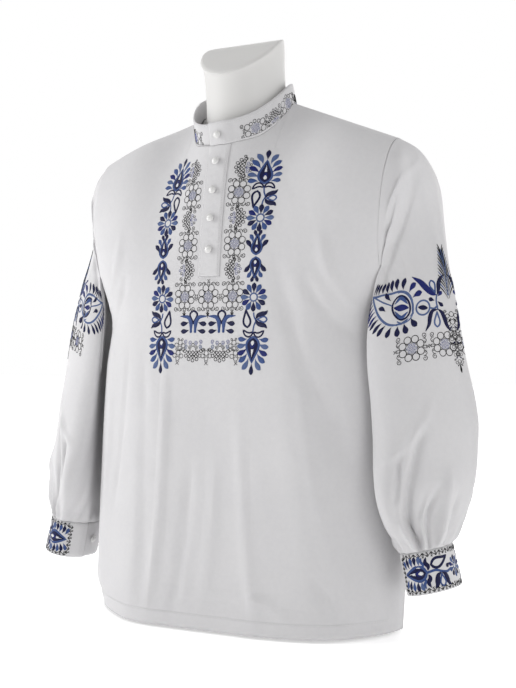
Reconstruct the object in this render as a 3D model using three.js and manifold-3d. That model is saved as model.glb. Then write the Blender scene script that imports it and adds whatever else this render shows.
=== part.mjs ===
// A white cotton pullover folk shirt with a stand collar, a half-length button
// placket, wide sleeves gathered into cuffs, worn by a headless, limbless torso form.
// Units are millimetres. +Z is up, the front faces -Y and the wearer's left is +X.
// The origin is the middle of the form's flat base, which stands on the floor.
import * as THREE from "three";
import { mergeVertices } from "three/addons/utils/BufferGeometryUtils.js";
import Module from "manifold-3d";

const wasm = await Module();
wasm.setup();

// ---------------------------------------------------------------- driving dimensions
const CLOTH = 1.6; // wall of the body and sleeves
const BAND = 2.2; // wall of the interfaced collar, cuffs and placket
const SEAM = 0.4; // gap between two pieces at a seam
const HEM_Z = 4; // height of the hem above the floor
const ARMPIT = { x: 240, z: 460 };
const SHOULDER = { x: 250, centreZ: 800, slope: 0.39 }; // the ridge falls from its middle
const NECK_SETTLE = { x: -84, width: 62, depth: 9 }; // the ridge sinks on the wearer's right
const ARMHOLE_DEPTH = { front: 62, back: 70 };
const NECK_HOLE = { halfWidth: 80, front: 82, back: 66 };
const YOKE_CURVE = { front: 0.45, back: 0.3, slant: 352 }; // how each face arches to the ridge
const CHEST_SLOPE = 0.07; // how the chest still leans back where the yoke begins
const PIT_EASE = { slope: 0.4, height: 90 }; // hollow of the side under each arm
const VENT = { height: 90, tuck: 16 }; // slit at each side of the hem
const HEM_CURL = { height: 52, inward: 15 }; // the wearer's right corner turns in
const PLACKET = { halfWidth: 18.5, slitHalf: 1.5, foot: 0.173, head: 1.985, gap: 0.5 };
const COLLAR = { lift: 2.4, startDeg: -11, endDeg: 368 };
const COLLAR_TOP = { x: -5, y: -7, halfWidth: 77, depth: 74 };
const CUFF = { height: 57, halfWidth: 35, halfDepth: 48, leanDeg: 12.6 };
const CUFF_TOP = { x: 304, y: -32, z: 128 }; // middle of the left cuff's seam
const CUFF_TURN = { startDeg: 165, endDeg: -210, underFromDeg: -150, underDeg: -185 };
const BUTTON = { radius: 5.8, height: 5.6 };
const GATHERS = 14; // gathers round each sleeve where it meets the cuff

// Body sections by height: half width, front and back depth, and squareness of the plan.
const BODY_SECTIONS = [
  { z: 4, half: 256, front: 158, back: 132, square: 2.5 },
  { z: 60, half: 259, front: 147, back: 128, square: 2.5 },
  { z: 200, half: 256, front: 134, back: 123, square: 2.6 },
  { z: 330, half: 250, front: 124, back: 119, square: 2.7 },
  { z: 460, half: 240, front: 115, back: 116, square: 2.8 },
];

// Soft folds of the body: where each crest runs at its top and at the hem, and its size.
const BODY_FOLDS = [
  { face: -1, topX: -98, topZ: 430, hemX: -112, width: 30, height: 6 },
  { face: -1, topX: 112, topZ: 450, hemX: 200, width: 32, height: 8 },
  { face: -1, topX: 10, topZ: 400, hemX: 40, width: 60, height: -6 },
  { face: -1, topX: 170, topZ: 420, hemX: 236, width: 18, height: -6 },
  { face: -1, topX: -170, topZ: 440, hemX: -190, width: 26, height: -5 },
  { face: 1, topX: -120, topZ: 480, hemX: -150, width: 34, height: 8 },
  { face: 1, topX: 95, topZ: 500, hemX: 130, width: 36, height: 7 },
  { face: 1, topX: -20, topZ: 470, hemX: -30, width: 48, height: -7 },
  { face: 1, topX: 178, topZ: 440, hemX: 205, width: 24, height: -6 },
];

// Height of the collar's top edge by its turn from the front.
const COLLAR_EDGE = [
  { deg: 0, z: 738 },
  { deg: 20, z: 740 },
  { deg: 40, z: 749 },
  { deg: 60, z: 765 },
  { deg: 80, z: 784 },
  { deg: 100, z: 799 },
  { deg: 130, z: 806 },
  { deg: 180, z: 806 },
];

// Sleeve rings from the armhole to the cuff: the outer line, the under line, the middle's
// depth, and the front and back reach with how far each of them leans in over the body.
const SLEEVE_RINGS = [
  { outX: 250, outZ: 702.5, inX: 240, inZ: 460, y: 0, front: 62, back: 70, leanF: 0, leanB: 0 },
  { outX: 275, outZ: 684, inX: 237, inZ: 452, y: 13, front: 68, back: 68, leanF: 6, leanB: 0 },
  { outX: 292, outZ: 648, inX: 233, inZ: 442, y: 26, front: 74, back: 67, leanF: 16, leanB: 0 },
  { outX: 301, outZ: 597, inX: 229, inZ: 428, y: 27, front: 78, back: 68, leanF: 28, leanB: 4 },
  { outX: 314, outZ: 540, inX: 228, inZ: 408, y: 18, front: 77, back: 72, leanF: 40, leanB: 14 },
  { outX: 329, outZ: 485, inX: 232, inZ: 384, y: 8, front: 78, back: 78, leanF: 45, leanB: 30 },
  { outX: 341, outZ: 430, inX: 240, inZ: 350, y: 3, front: 80, back: 80, leanF: 47, leanB: 38 },
  { outX: 352, outZ: 370, inX: 248, inZ: 308, y: 3, front: 84, back: 82, leanF: 47, leanB: 40 },
  { outX: 363, outZ: 310, inX: 252, inZ: 266, y: 3, front: 90, back: 84, leanF: 46, leanB: 36 },
  { outX: 366, outZ: 258, inX: 254, inZ: 226, y: -1, front: 94, back: 86, leanF: 44, leanB: 28 },
  { outX: 363, outZ: 215, inX: 254, inZ: 188, y: -8, front: 91, back: 82, leanF: 36, leanB: 16 },
  { outX: 354, outZ: 180, inX: 256, inZ: 158, y: -17, front: 78, back: 71, leanF: 24, leanB: 6 },
  { outX: 344, outZ: 153, inX: 263, inZ: 135, y: -27, front: 58, back: 55, leanF: 8, leanB: 0 },
  { outX: 338.2, outZ: 135.6, inX: 269.8, inZ: 120.4, y: -32, front: 48, back: 48, leanF: 0, leanB: 0 },
];

// Creases of the sleeve: angle round it at the lower and upper end, its span along it,
// and its size. Angles run from 0 outside through 90 at the front to 180 inside.
const SLEEVE_CREASES = [
  { lowDeg: 74, highDeg: 66, from: 0.6, to: 1, width: 9, height: -9 },
  { lowDeg: 92, highDeg: 88, from: 0.66, to: 1, width: 11, height: 6 },
  { lowDeg: 50, highDeg: 40, from: 0.74, to: 1, width: 8, height: -6 },
  { lowDeg: 28, highDeg: 22, from: 0.68, to: 1, width: 9, height: 4 },
  { lowDeg: 122, highDeg: 130, from: 0.55, to: 1, width: 10, height: -6 },
  { lowDeg: -20, highDeg: -12, from: 0.62, to: 1, width: 9, height: -6 },
  { lowDeg: -70, highDeg: -60, from: 0.58, to: 1, width: 10, height: -8 },
  { lowDeg: -112, highDeg: -118, from: 0.66, to: 1, width: 10, height: -6 },
  { lowDeg: 96, highDeg: 30, from: 0.02, to: 0.3, width: 9, height: 6 },
  { lowDeg: 78, highDeg: 16, from: 0.04, to: 0.34, width: 8, height: -6 },
  { lowDeg: -96, highDeg: -34, from: 0.02, to: 0.3, width: 10, height: -5 },
];

// The torso form: half width, front and back depth by height up to the arm level.
const FORM_SECTIONS = [
  { z: 0, half: 172, front: 104, back: 96, square: 2.2 },
  { z: 90, half: 176, front: 107, back: 98, square: 2.2 },
  { z: 250, half: 158, front: 92, back: 84, square: 2.2 },
  { z: 360, half: 176, front: 100, back: 96, square: 2.3 },
  { z: 460, half: 196, front: 106, back: 105, square: 2.4 },
];
const FORM_SHOULDER = { x: 206, drop: 2.1, roundOff: 58 }; // drop below the shirt's ridge
const NECK_RINGS = [
  { z: 690, y: -6, halfWidth: 60, halfDepth: 58 },
  { z: 745, y: -6, halfWidth: 60, halfDepth: 58 },
  { z: 790, y: -7, halfWidth: 61, halfDepth: 60 },
  { z: 822, y: -12, halfWidth: 62, halfDepth: 63 },
  { z: 850, y: -21, halfWidth: 66, halfDepth: 67 },
  { z: 900, y: -28, halfWidth: 65, halfDepth: 70 },
];
// The sloping cut top of the neck, steeper in front of bendY than behind it.
const NECK_CUT = { z: 862, bendY: -20, backSlope: 0.25, frontSlope: 0.95, rim: 4 };

// ---------------------------------------------------------------- helpers
const rad = (deg) => (deg * Math.PI) / 180;
const lerp = (a, b, k) => a + (b - a) * k;
const clamp01 = (k) => Math.min(1, Math.max(0, k));
const smooth = (k) => clamp01(k) ** 2 * (3 - 2 * clamp01(k));

// The value of one named column at a height or position, smooth between rows.
function column(table, key, name, at) {
  let i = 0;
  while (i < table.length - 2 && at > table[i + 1][key]) i += 1;
  const a = table[i];
  const b = table[i + 1];
  const before = table[Math.max(0, i - 1)];
  const after = table[Math.min(table.length - 1, i + 2)];
  const span = b[key] - a[key];
  const k = clamp01((at - a[key]) / span);
  const slopeA = ((b[name] - before[name]) / (b[key] - before[key])) * span;
  const slopeB = ((after[name] - a[name]) / (after[key] - a[key])) * span;
  const k2 = k * k;
  const k3 = k2 * k;
  return (
    a[name] * (2 * k3 - 3 * k2 + 1) +
    slopeA * (k3 - 2 * k2 + k) +
    b[name] * (3 * k2 - 2 * k3) +
    slopeB * (k3 - k2)
  );
}

// A closed solid from triangles, as a named mesh.
function meshOf(name, points, triangles, look) {
  const geometry = new THREE.BufferGeometry();
  const flat = points.flatMap((p) => [p.x, p.y, p.z]);
  geometry.setAttribute("position", new THREE.Float32BufferAttribute(flat, 3));
  geometry.setIndex(triangles);
  geometry.computeVertexNormals();
  const mesh = new THREE.Mesh(geometry, look);
  mesh.name = name;
  return mesh;
}

// Unit normals of a grid of points, from its neighbours. outward gives a point's rough
// outward direction, which only sets their sign.
function gridNormals(grid, outward, closed = false) {
  const rows = grid.length;
  const cols = grid[0].length;
  return grid.map((row, j) =>
    row.map((p, i) => {
      const left = closed ? row[(i + cols - 1) % cols] : row[Math.max(0, i - 1)];
      const right = closed ? row[(i + 1) % cols] : row[Math.min(cols - 1, i + 1)];
      const low = grid[Math.max(0, j - 1)][i];
      const high = grid[Math.min(rows - 1, j + 1)][i];
      const across = new THREE.Vector3().subVectors(right, left);
      const along = new THREE.Vector3().subVectors(high, low);
      const n = across.cross(along).normalize();
      return n.dot(outward(p)) < 0 ? n.negate() : n;
    }),
  );
}

// A wall between an outer and an inner grid of points. keep says which cells exist.
function wall(name, outer, inner, look, { closed = false, keep = () => true } = {}) {
  const rows = outer.length;
  const cols = outer[0].length;
  const cells = closed ? cols : cols - 1;
  const used = new Map();
  const points = [];
  const triangles = [];
  const vertex = (side, j, i) => {
    const column = i % cols;
    const key = (side * rows + j) * cols + column;
    if (!used.has(key)) {
      used.set(key, points.length);
      points.push((side ? inner : outer)[j][column]);
    }
    return used.get(key);
  };
  const quad = (a, b, c, d) => triangles.push(a, b, c, a, c, d);
  const corners = (side, j, i) => [
    vertex(side, j, i),
    vertex(side, j, i + 1),
    vertex(side, j + 1, i + 1),
    vertex(side, j + 1, i),
  ];
  const there = (j, i) => {
    if (j < 0 || j >= rows - 1) return false;
    if (closed) return keep(j, (i + cells) % cells);
    return i >= 0 && i < cells && keep(j, i);
  };
  for (let j = 0; j < rows - 1; j += 1) {
    for (let i = 0; i < cells; i += 1) {
      if (!there(j, i)) continue;
      const o = corners(0, j, i);
      const n = corners(1, j, i);
      quad(o[0], o[1], o[2], o[3]);
      quad(n[0], n[3], n[2], n[1]);
      if (!there(j - 1, i)) quad(o[0], n[0], n[1], o[1]);
      if (!there(j + 1, i)) quad(o[2], n[2], n[3], o[3]);
      if (!there(j, i - 1)) quad(o[3], n[3], n[0], o[0]);
      if (!there(j, i + 1)) quad(o[1], n[1], n[2], o[2]);
    }
  }
  return facingOut(meshOf(name, points, triangles, look));
}

// Turns a mesh's faces round where they point inwards.
function facingOut(mesh) {
  const at = mesh.geometry.getAttribute("position");
  const index = mesh.geometry.index.array;
  const p = [0, 1, 2].map(() => new THREE.Vector3());
  let volume = 0;
  for (let i = 0; i < index.length; i += 3) {
    p.forEach((v, k) => v.fromBufferAttribute(at, index[i + k]));
    volume += p[0].dot(p[1].cross(p[2]));
  }
  if (volume < 0) {
    for (let i = 0; i < index.length; i += 3) {
      [index[i + 1], index[i + 2]] = [index[i + 2], index[i + 1]];
    }
  }
  return mesh;
}

const moved = (grid, normals, by) =>
  grid.map((row, j) => row.map((p, i) => p.clone().addScaledVector(normals[j][i], by)));

function solidOf(geometry) {
  const bare = geometry.clone();
  bare.deleteAttribute("normal");
  bare.deleteAttribute("uv");
  const merged = mergeVertices(bare, 1e-4);
  return new wasm.Manifold(
    new wasm.Mesh({
      numProp: 3,
      vertProperties: merged.getAttribute("position").array,
      triVerts: new Uint32Array(merged.index.array),
    }),
  );
}

function meshOfSolid(name, solid, look) {
  const { numProp, vertProperties, triVerts } = solid.getMesh();
  const points = [];
  for (let i = 0; i < vertProperties.length; i += numProp) {
    points.push(new THREE.Vector3(vertProperties[i], vertProperties[i + 1], vertProperties[i + 2]));
  }
  return meshOf(name, points, Array.from(triVerts), look);
}

// ---------------------------------------------------------------- the body of the shirt
const bell = (away, width) => Math.exp(-((away / width) ** 2));
const neckSettle = (x) => NECK_SETTLE.depth * bell(x - NECK_SETTLE.x, NECK_SETTLE.width);
const ridgeZ = (x) => SHOULDER.centreZ - SHOULDER.slope * Math.abs(x) - neckSettle(x);

// How far the soft folds push a point of the body out.
function foldOut(face, x, z) {
  return BODY_FOLDS.filter((f) => f.face === face).reduce((sum, f) => {
    const down = clamp01((f.topZ - z) / f.topZ);
    const crest = lerp(f.topX, f.hemX, down);
    const width = f.width * (0.7 + 0.6 * down);
    return sum + f.height * smooth(down * 2.2) * bell(x - crest, width);
  }, 0);
}

// Half width of the skirt of the shirt, under the arms, on one face and side.
function skirtHalf(face, side, z) {
  const under = ARMPIT.z - z;
  const ease = PIT_EASE.slope * under * clamp01(1 - under / PIT_EASE.height) ** 2;
  const vent = face > 0 ? VENT.tuck * smooth((VENT.height - z) / VENT.height) : 0;
  const curl = side < 0 ? HEM_CURL.inward * smooth((HEM_CURL.height - z) / HEM_CURL.height) : 0;
  return column(BODY_SECTIONS, "z", "half", z) - ease - vent - curl;
}

// A point of the skirt of the shirt. across runs from -1 to 1.
function skirtPoint(face, across, z) {
  const depth = column(BODY_SECTIONS, "z", face < 0 ? "front" : "back", z);
  const square = column(BODY_SECTIONS, "z", "square", z);
  const x = skirtHalf(face, across, z) * across;
  const plan = Math.sqrt(Math.max(0, 1 - Math.abs(across) ** square));
  const y = SEAM / 2 + plan * (depth + foldOut(face, x, z));
  return new THREE.Vector3(x, face * y, z);
}

// How steeply a face arches to the ridge at a share of the way from the middle to the arm.
function yokeArch(name, edge) {
  return YOKE_CURVE[name] + YOKE_CURVE.slant * edge ** 4 * (1 - edge) ** 6;
}

// A point of the yoke above the arm level. turn runs from 0 there to 90 degrees at the ridge.
function yokePoint(face, across, turnDeg) {
  const name = face < 0 ? "front" : "back";
  const edge = Math.abs(across);
  const rise = Math.sin(rad(turnDeg)) ** (1 + edge ** 3);
  const side = lerp(ARMPIT.x, SHOULDER.x, rise);
  const x = side * across;
  const z = ARMPIT.z + (ridgeZ(x) - ARMPIT.z) * rise;
  const arch = Math.max(0, 1 - rise * rise) ** yokeArch(name, edge);
  const lean = CHEST_SLOPE * (z - ARMPIT.z) * (1 - rise) ** 2;
  const depth = column(BODY_SECTIONS, "z", name, ARMPIT.z) * arch - lean + 0.01;
  const square = column(BODY_SECTIONS, "z", "square", ARMPIT.z);
  const armhole = 2 * ARMHOLE_DEPTH[name] * Math.sqrt(Math.max(0, rise * (1 - rise)));
  const reach = side / (1 - Math.min(0.95, armhole / depth) ** 2) ** (1 / square);
  const plan = Math.sqrt(Math.max(0, 1 - (Math.abs(x) / reach) ** square));
  const y = SEAM / 2 + plan * (depth + foldOut(face, x, z) * arch);
  return new THREE.Vector3(x, face * y, z);
}

// The turn at which a column of the yoke meets the neck hole.
function neckTurn(face, across) {
  const reach = Math.abs(SHOULDER.x * across) / NECK_HOLE.halfWidth;
  if (reach >= 0.9999) return 90;
  const hole = (face < 0 ? NECK_HOLE.front : NECK_HOLE.back) * Math.sqrt(1 - reach ** 2);
  let low = 0;
  let high = 90;
  for (let step = 0; step < 30; step += 1) {
    const middle = (low + high) / 2;
    if (Math.abs(yokePoint(face, across, middle).y) > hole) low = middle;
    else high = middle;
  }
  return low;
}

// A point of the body: up runs from 0 at the hem to 1 under the arms and 2 at the top.
function bodyPoint(face, across, up) {
  if (up <= 1) return skirtPoint(face, across, lerp(HEM_Z, ARMPIT.z, up));
  return yokePoint(face, across, (up - 1) * neckTurn(face, across));
}

const COLUMNS_HALF = [1.5, 18.5, 36, 52, 65, 74, 79, 80, 98, 122, 148, 174, 198, 219, 236, 246, 250];
const SKIRT_ROWS = 8;
const YOKE_ROWS = [0.0865, 0.173, 0.265, 0.357, 0.449, 0.541, 0.632, 0.724, 0.816, 0.908, 1];
const acrossOf = (x) => x / SHOULDER.x;
const COLUMNS = [...COLUMNS_HALF.map((x) => -x).reverse(), ...COLUMNS_HALF].map(acrossOf);
const ROWS = [
  ...Array.from({ length: SKIRT_ROWS + 1 }, (_, k) => k / SKIRT_ROWS),
  ...YOKE_ROWS.map((k) => 1 + k),
];

const bodyOutward = (p) => new THREE.Vector3(p.x * 0.25, p.y, Math.max(0, p.z - 560));

// The front or back as grids of outer points and their normals, which stay square to the
// seams, so that two pieces that meet there keep their gap.
function bodyGrid(face, columns) {
  const grid = ROWS.map((up) => columns.map((across) => bodyPoint(face, across, up)));
  const normals = gridNormals(grid, bodyOutward);
  normals.forEach((row, j) =>
    row.forEach((n, i) => {
      const side = Math.abs(columns[i]) > 0.9999;
      if (side && ROWS[j] <= 1) n.set(Math.sign(columns[i]), 0, 0);
      else if (side) n.set(0, n.y, n.z).normalize();
      if (ROWS[j] === 2 && neckTurn(face, columns[i]) > 89) n.set(n.x, 0, n.z).normalize();
    }),
  );
  return { grid, normals };
}

function front(look) {
  const { grid, normals } = bodyGrid(-1, COLUMNS);
  const middle = (COLUMNS.length - 2) / 2;
  const slitFoot = ROWS.findIndex((up) => up > 1 + PLACKET.foot + 0.01);
  const keep = (j, i) => i !== middle || j < slitFoot;
  return wall("front", grid, moved(grid, normals, -CLOTH), look, { keep });
}

function back(look) {
  const columns = COLUMNS.filter((across) => Math.abs(across) > 0.01);
  const { grid, normals } = bodyGrid(1, columns);
  return wall("back", grid, moved(grid, normals, -CLOTH), look);
}

// The placket lies on the front's own points, moved out.
function placketGrid() {
  const { halfWidth, slitHalf, foot, head } = PLACKET;
  const columns = [-halfWidth, -slitHalf, slitHalf, halfWidth].map(acrossOf);
  const rows = ROWS.filter((up) => up > 1 + foot - 0.01).map((up) => Math.min(up, head));
  const grid = rows.map((up) => columns.map((across) => bodyPoint(-1, across, up)));
  return { grid, normals: gridNormals(grid, bodyOutward) };
}

function placket(look) {
  const { grid, normals } = placketGrid();
  const under = moved(grid, normals, PLACKET.gap);
  const over = moved(grid, normals, PLACKET.gap + BAND);
  return wall("placket", over, under, look);
}

// ---------------------------------------------------------------- the collar
// The foot and the top of the collar at a turn round the neck, 0 at the front and 90 at
// the wearer's left.
function neckEdge(turnDeg) {
  const turn = rad(turnDeg);
  const face = Math.cos(turn) > 0 ? -1 : 1;
  const across = acrossOf(NECK_HOLE.halfWidth * Math.sin(turn));
  return bodyPoint(face, across, 2);
}

function collarTop(turnDeg) {
  const turn = rad(turnDeg);
  const x = COLLAR_TOP.x + COLLAR_TOP.halfWidth * Math.sin(turn);
  const fromFront = Math.abs(((turnDeg + 540) % 360) - 180);
  return new THREE.Vector3(
    x,
    COLLAR_TOP.y - COLLAR_TOP.depth * Math.cos(turn),
    column(COLLAR_EDGE, "deg", "z", fromFront) - neckSettle(x),
  );
}

function collar(look) {
  const steps = 52;
  const lift = COLLAR.lift;
  const outer = [[], [], []];
  const inner = [[], [], []];
  for (let k = 0; k <= steps; k += 1) {
    const turnDeg = lerp(COLLAR.startDeg, COLLAR.endDeg, k / steps);
    const tuck = (BAND + SEAM) * smooth((turnDeg - 318) / 24);
    const over = (BAND + PLACKET.gap) * smooth((20 - turnDeg) / 14) * (turnDeg < 60 ? 1 : 0);
    const foot = neckEdge(turnDeg);
    const top = collarTop(turnDeg);
    const inward = new THREE.Vector3(-foot.x, -foot.y, 0).normalize();
    for (let j = 0; j < 3; j += 1) {
      const p = foot.clone().lerp(top, j / 2);
      p.z += lift * (1 - j / 2);
      p.addScaledVector(inward, tuck - over);
      outer[j].push(p);
      inner[j].push(p.clone().addScaledVector(inward, BAND));
    }
  }
  return wall("collar", outer, inner, look);
}

// ---------------------------------------------------------------- the sleeves
const sleeveKey = SLEEVE_RINGS.map((ring, k) => ({ ...ring, at: k / (SLEEVE_RINGS.length - 1) }));
const sleeveValue = (name, at) => column(sleeveKey, "at", name, at);

// The body's half width at a height and depth, which the sleeve stays clear of.
function bodySide(y, z) {
  const face = y < 0 ? "front" : "back";
  const level = Math.min(z, ARMPIT.z);
  const depth = column(BODY_SECTIONS, "z", face, level) + 6;
  const square = column(BODY_SECTIONS, "z", "square", level);
  const reach = Math.min(1, Math.abs(y) / depth);
  return column(BODY_SECTIONS, "z", "half", level) * (1 - reach ** 2) ** (1 / square);
}

function creaseOut(angleDeg, at) {
  return SLEEVE_CREASES.reduce((sum, c) => {
    const span = clamp01((at - c.from) / (c.to - c.from));
    const middle = lerp(c.highDeg, c.lowDeg, span);
    const away = ((angleDeg - middle + 540) % 360) - 180;
    const width = c.width * (1.5 - 0.6 * span);
    const toCuff = smooth(span * 2.5) * (1 - 0.75 * smooth((at - 0.9) * 10));
    const fade = c.to < 1 ? Math.sin(Math.PI * span) : toCuff;
    return sum + c.height * fade * bell(away, width);
  }, 0);
}

// Small gathers above the cuff, which die out up the sleeve.
function gatherOut(angleDeg, at) {
  const near = smooth((at - 0.8) / 0.14);
  const atSeam = 1 - 0.6 * smooth((at - 0.94) / 0.06);
  const uneven = 1 + 0.25 * Math.sin(rad(angleDeg * 5 + 40));
  return 2.6 * near * atSeam * uneven * Math.cos(rad(angleDeg * GATHERS));
}

// A point of the wearer's left sleeve: at runs from 0 at the armhole to 1 at the cuff.
function sleevePoint(angleDeg, at) {
  const angle = rad(angleDeg);
  const outX = sleeveValue("outX", at);
  const outZ = sleeveValue("outZ", at);
  const inX = sleeveValue("inX", at);
  const inZ = sleeveValue("inZ", at);
  const forward = Math.sin(angle);
  const push = creaseOut(angleDeg, at) + gatherOut(angleDeg, at);
  const half = Math.hypot(outX - inX, outZ - inZ) / 2;
  const swell = 1 + push / half;
  const depth = sleeveValue(forward > 0 ? "front" : "back", at) + push;
  const along = (Math.cos(angle) * swell) / 2;
  const lean = sleeveValue(forward > 0 ? "leanF" : "leanB", at) * Math.abs(forward);
  const p = new THREE.Vector3(
    (outX + inX) / 2 + (outX - inX) * along - lean,
    sleeveValue("y", at) - depth * forward,
    (outZ + inZ) / 2 + (outZ - inZ) * along,
  );
  const clear = smooth(at / 0.12) * (1 - smooth((at - 0.88) / 0.1));
  const least = bodySide(p.y, p.z) + 9;
  const soft = 10;
  const excess = (p.x - least) / soft;
  const pushed = least + soft * Math.log1p(Math.exp(Math.min(30, excess)));
  p.x = excess > 30 ? p.x : lerp(p.x, pushed, clear);
  return p;
}

const cuffAxis = new THREE.Vector3(Math.sin(rad(CUFF.leanDeg)), 0, -Math.cos(rad(CUFF.leanDeg)));
const SLEEVE_COLUMNS = GATHERS * 4;
const SLEEVE_STATIONS = [
  0, 0.05, 0.11, 0.18, 0.26, 0.34, 0.42, 0.5, 0.58, 0.66, 0.73, 0.79, 0.84, 0.885, 0.925, 0.965, 1,
];

function sleeve(side, look) {
  const grid = SLEEVE_STATIONS.map((at) =>
    Array.from({ length: SLEEVE_COLUMNS }, (_, k) => {
      const p = sleevePoint((k * 360) / SLEEVE_COLUMNS, at);
      if (at === 0) p.x += SEAM;
      return p;
    }),
  );
  const middles = grid.map((row) => {
    const sum = row.reduce((total, p) => total.add(p), new THREE.Vector3());
    return sum.divideScalar(row.length);
  });
  const normals = gridNormals(grid, () => new THREE.Vector3(), true);
  normals.forEach((row, j) =>
    row.forEach((n, k) => {
      const out = new THREE.Vector3().subVectors(grid[j][k], middles[j]);
      if (n.dot(out) < 0) n.negate();
      if (j === 0) n.set(0, n.y, n.z).normalize();
      if (j === normals.length - 1) n.addScaledVector(cuffAxis, -n.dot(cuffAxis)).normalize();
    }),
  );
  const inner = moved(grid, normals, -CLOTH);
  [...grid.flat(), ...inner.flat()].forEach((p) => p.setX(p.x * side));
  return wall(side > 0 ? "sleeve_left" : "sleeve_right", grid, inner, look, { closed: true });
}

// ---------------------------------------------------------------- the cuffs
// A point of the left cuff: down runs from 0 at its seam to 1 at its free edge.
function cuffPoint(angleDeg, down, inward) {
  const lean = rad(CUFF.leanDeg);
  const angle = rad(angleDeg);
  const wide = (CUFF.halfWidth - inward) * Math.cos(angle);
  const deep = (CUFF.halfDepth - inward) * Math.sin(angle);
  const flare = 1 + 0.035 * down;
  const drop = CUFF.height * down + SEAM;
  return new THREE.Vector3(
    CUFF_TOP.x + drop * Math.sin(lean) + wide * Math.cos(lean) * flare,
    CUFF_TOP.y - deep * flare,
    CUFF_TOP.z - drop * Math.cos(lean) + wide * Math.sin(lean) * flare,
  );
}

// How far the lapped end of the cuff lies in under its other end.
function cuffTuck(angleDeg) {
  const { underFromDeg, underDeg } = CUFF_TURN;
  return (BAND + SEAM) * smooth((underFromDeg - angleDeg) / (underFromDeg - underDeg));
}

function cuff(side, look) {
  const steps = 40;
  const outer = [[], [], []];
  const inner = [[], [], []];
  for (let k = 0; k <= steps; k += 1) {
    const angleDeg = lerp(CUFF_TURN.startDeg, CUFF_TURN.endDeg, k / steps);
    const tuck = cuffTuck(angleDeg);
    for (let j = 0; j < 3; j += 1) {
      const p = cuffPoint(angleDeg, j / 2, tuck);
      const q = cuffPoint(angleDeg, j / 2, tuck + BAND);
      p.x *= side;
      q.x *= side;
      outer[j].push(p);
      inner[j].push(q);
    }
  }
  return wall(side > 0 ? "cuff_left" : "cuff_right", outer, inner, look);
}

// ---------------------------------------------------------------- buttons
// A domed button on a short shank, standing on a point along a direction.
function button(name, at, direction, look) {
  const { radius, height } = BUTTON;
  const profile = [
    [0, 0],
    [2.2, 0],
    [2.2, 1.2],
    [radius * 0.86, 1.6],
    [radius, 2.9],
    [radius * 0.82, 4.4],
    [radius * 0.42, height - 0.3],
    [0, height],
  ].map(([r, h]) => new THREE.Vector2(r, h));
  const geometry = new THREE.LatheGeometry(profile, 12);
  const mesh = new THREE.Mesh(geometry, look);
  mesh.name = name;
  mesh.quaternion.setFromUnitVectors(new THREE.Vector3(0, 1, 0), direction);
  mesh.position.copy(at).addScaledVector(direction, SEAM);
  return mesh;
}

const PLACKET_BUTTON_UP = [1.865, 1.67, 1.5, 1.32]; // where the placket's buttons stand

function buttons(look) {
  const made = PLACKET_BUTTON_UP.map((up, k) => {
    const at = bodyPoint(-1, 0, up);
    const above = bodyPoint(-1, 0, up + 0.02);
    const slope = above.sub(at).normalize();
    const out = new THREE.Vector3(0, -slope.z, slope.y).normalize();
    at.addScaledVector(out, PLACKET.gap + BAND);
    return button(`button_placket_${k + 1}`, at, out, look);
  });
  const foot = neckEdge(0);
  const top = collarTop(0);
  const slope = top.clone().sub(foot);
  const out = new THREE.Vector3(0, -slope.z, slope.y).normalize();
  const at = foot.clone().lerp(top, 0.4).addScaledVector(out, PLACKET.gap + BAND + 0.4);
  made.push(button("button_collar", at, out, look));
  [1, -1].forEach((side) => {
    const angleDeg = -177;
    const on = cuffPoint(angleDeg, 0.5, cuffTuck(angleDeg));
    const inside = cuffPoint(angleDeg, 0.5, cuffTuck(angleDeg) + BAND);
    const outward = on.clone().sub(inside).normalize();
    on.addScaledVector(outward, 0.3);
    on.x *= side;
    outward.x *= side;
    made.push(button(side > 0 ? "button_cuff_left" : "button_cuff_right", on, outward, look));
  });
  return made;
}

// ---------------------------------------------------------------- the torso form
function formRidge(x) {
  const past = Math.abs(x) / FORM_SHOULDER.x;
  return ridgeZ(x) - FORM_SHOULDER.drop - FORM_SHOULDER.roundOff * past ** 7;
}

function formPoint(face, across, up) {
  const edge = Math.abs(across);
  const name = face < 0 ? "front" : "back";
  if (up <= 1) {
    const z = lerp(0, ARMPIT.z, up);
    const square = column(FORM_SECTIONS, "z", "square", z);
    const y = column(FORM_SECTIONS, "z", name, z) * Math.sqrt(Math.max(0, 1 - edge ** square));
    return new THREE.Vector3(column(FORM_SECTIONS, "z", "half", z) * across, face * y, z);
  }
  const turn = rad((up - 1) * 90);
  const depth = column(FORM_SECTIONS, "z", name, ARMPIT.z);
  const square = column(FORM_SECTIONS, "z", "square", ARMPIT.z);
  const armHalf = column(FORM_SECTIONS, "z", "half", ARMPIT.z);
  const half = lerp(armHalf, FORM_SHOULDER.x, Math.sin(turn) ** 2);
  const steep = yokeArch(name, (edge * FORM_SHOULDER.x) / SHOULDER.x);
  const arch = Math.cos(turn) ** (2 * steep + 0.25);
  const y = depth * Math.sqrt(Math.max(0, 1 - edge ** square)) * arch;
  const z = ARMPIT.z + (formRidge(FORM_SHOULDER.x * across) - ARMPIT.z) * Math.sin(turn);
  return new THREE.Vector3(half * across, face * y, z);
}

// Rings of points from the bottom up, closed by a flat fan at each end.
function lofted(rings) {
  const count = rings[0].length;
  const points = rings.flat();
  const triangles = [];
  for (let j = 0; j < rings.length - 1; j += 1) {
    for (let i = 0; i < count; i += 1) {
      const a = j * count + i;
      const b = j * count + ((i + 1) % count);
      triangles.push(a, b, b + count, a, b + count, a + count);
    }
  }
  [0, rings.length - 1].forEach((j) => {
    const middle = points.length;
    const sum = rings[j].reduce((total, p) => total.add(p), new THREE.Vector3());
    points.push(sum.divideScalar(count));
    for (let i = 0; i < count; i += 1) {
      const a = j * count + i;
      const b = j * count + ((i + 1) % count);
      triangles.push(...(j === 0 ? [middle, b, a] : [middle, a, b]));
    }
  });
  return facingOut(meshOf("loft", points, triangles));
}

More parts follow.
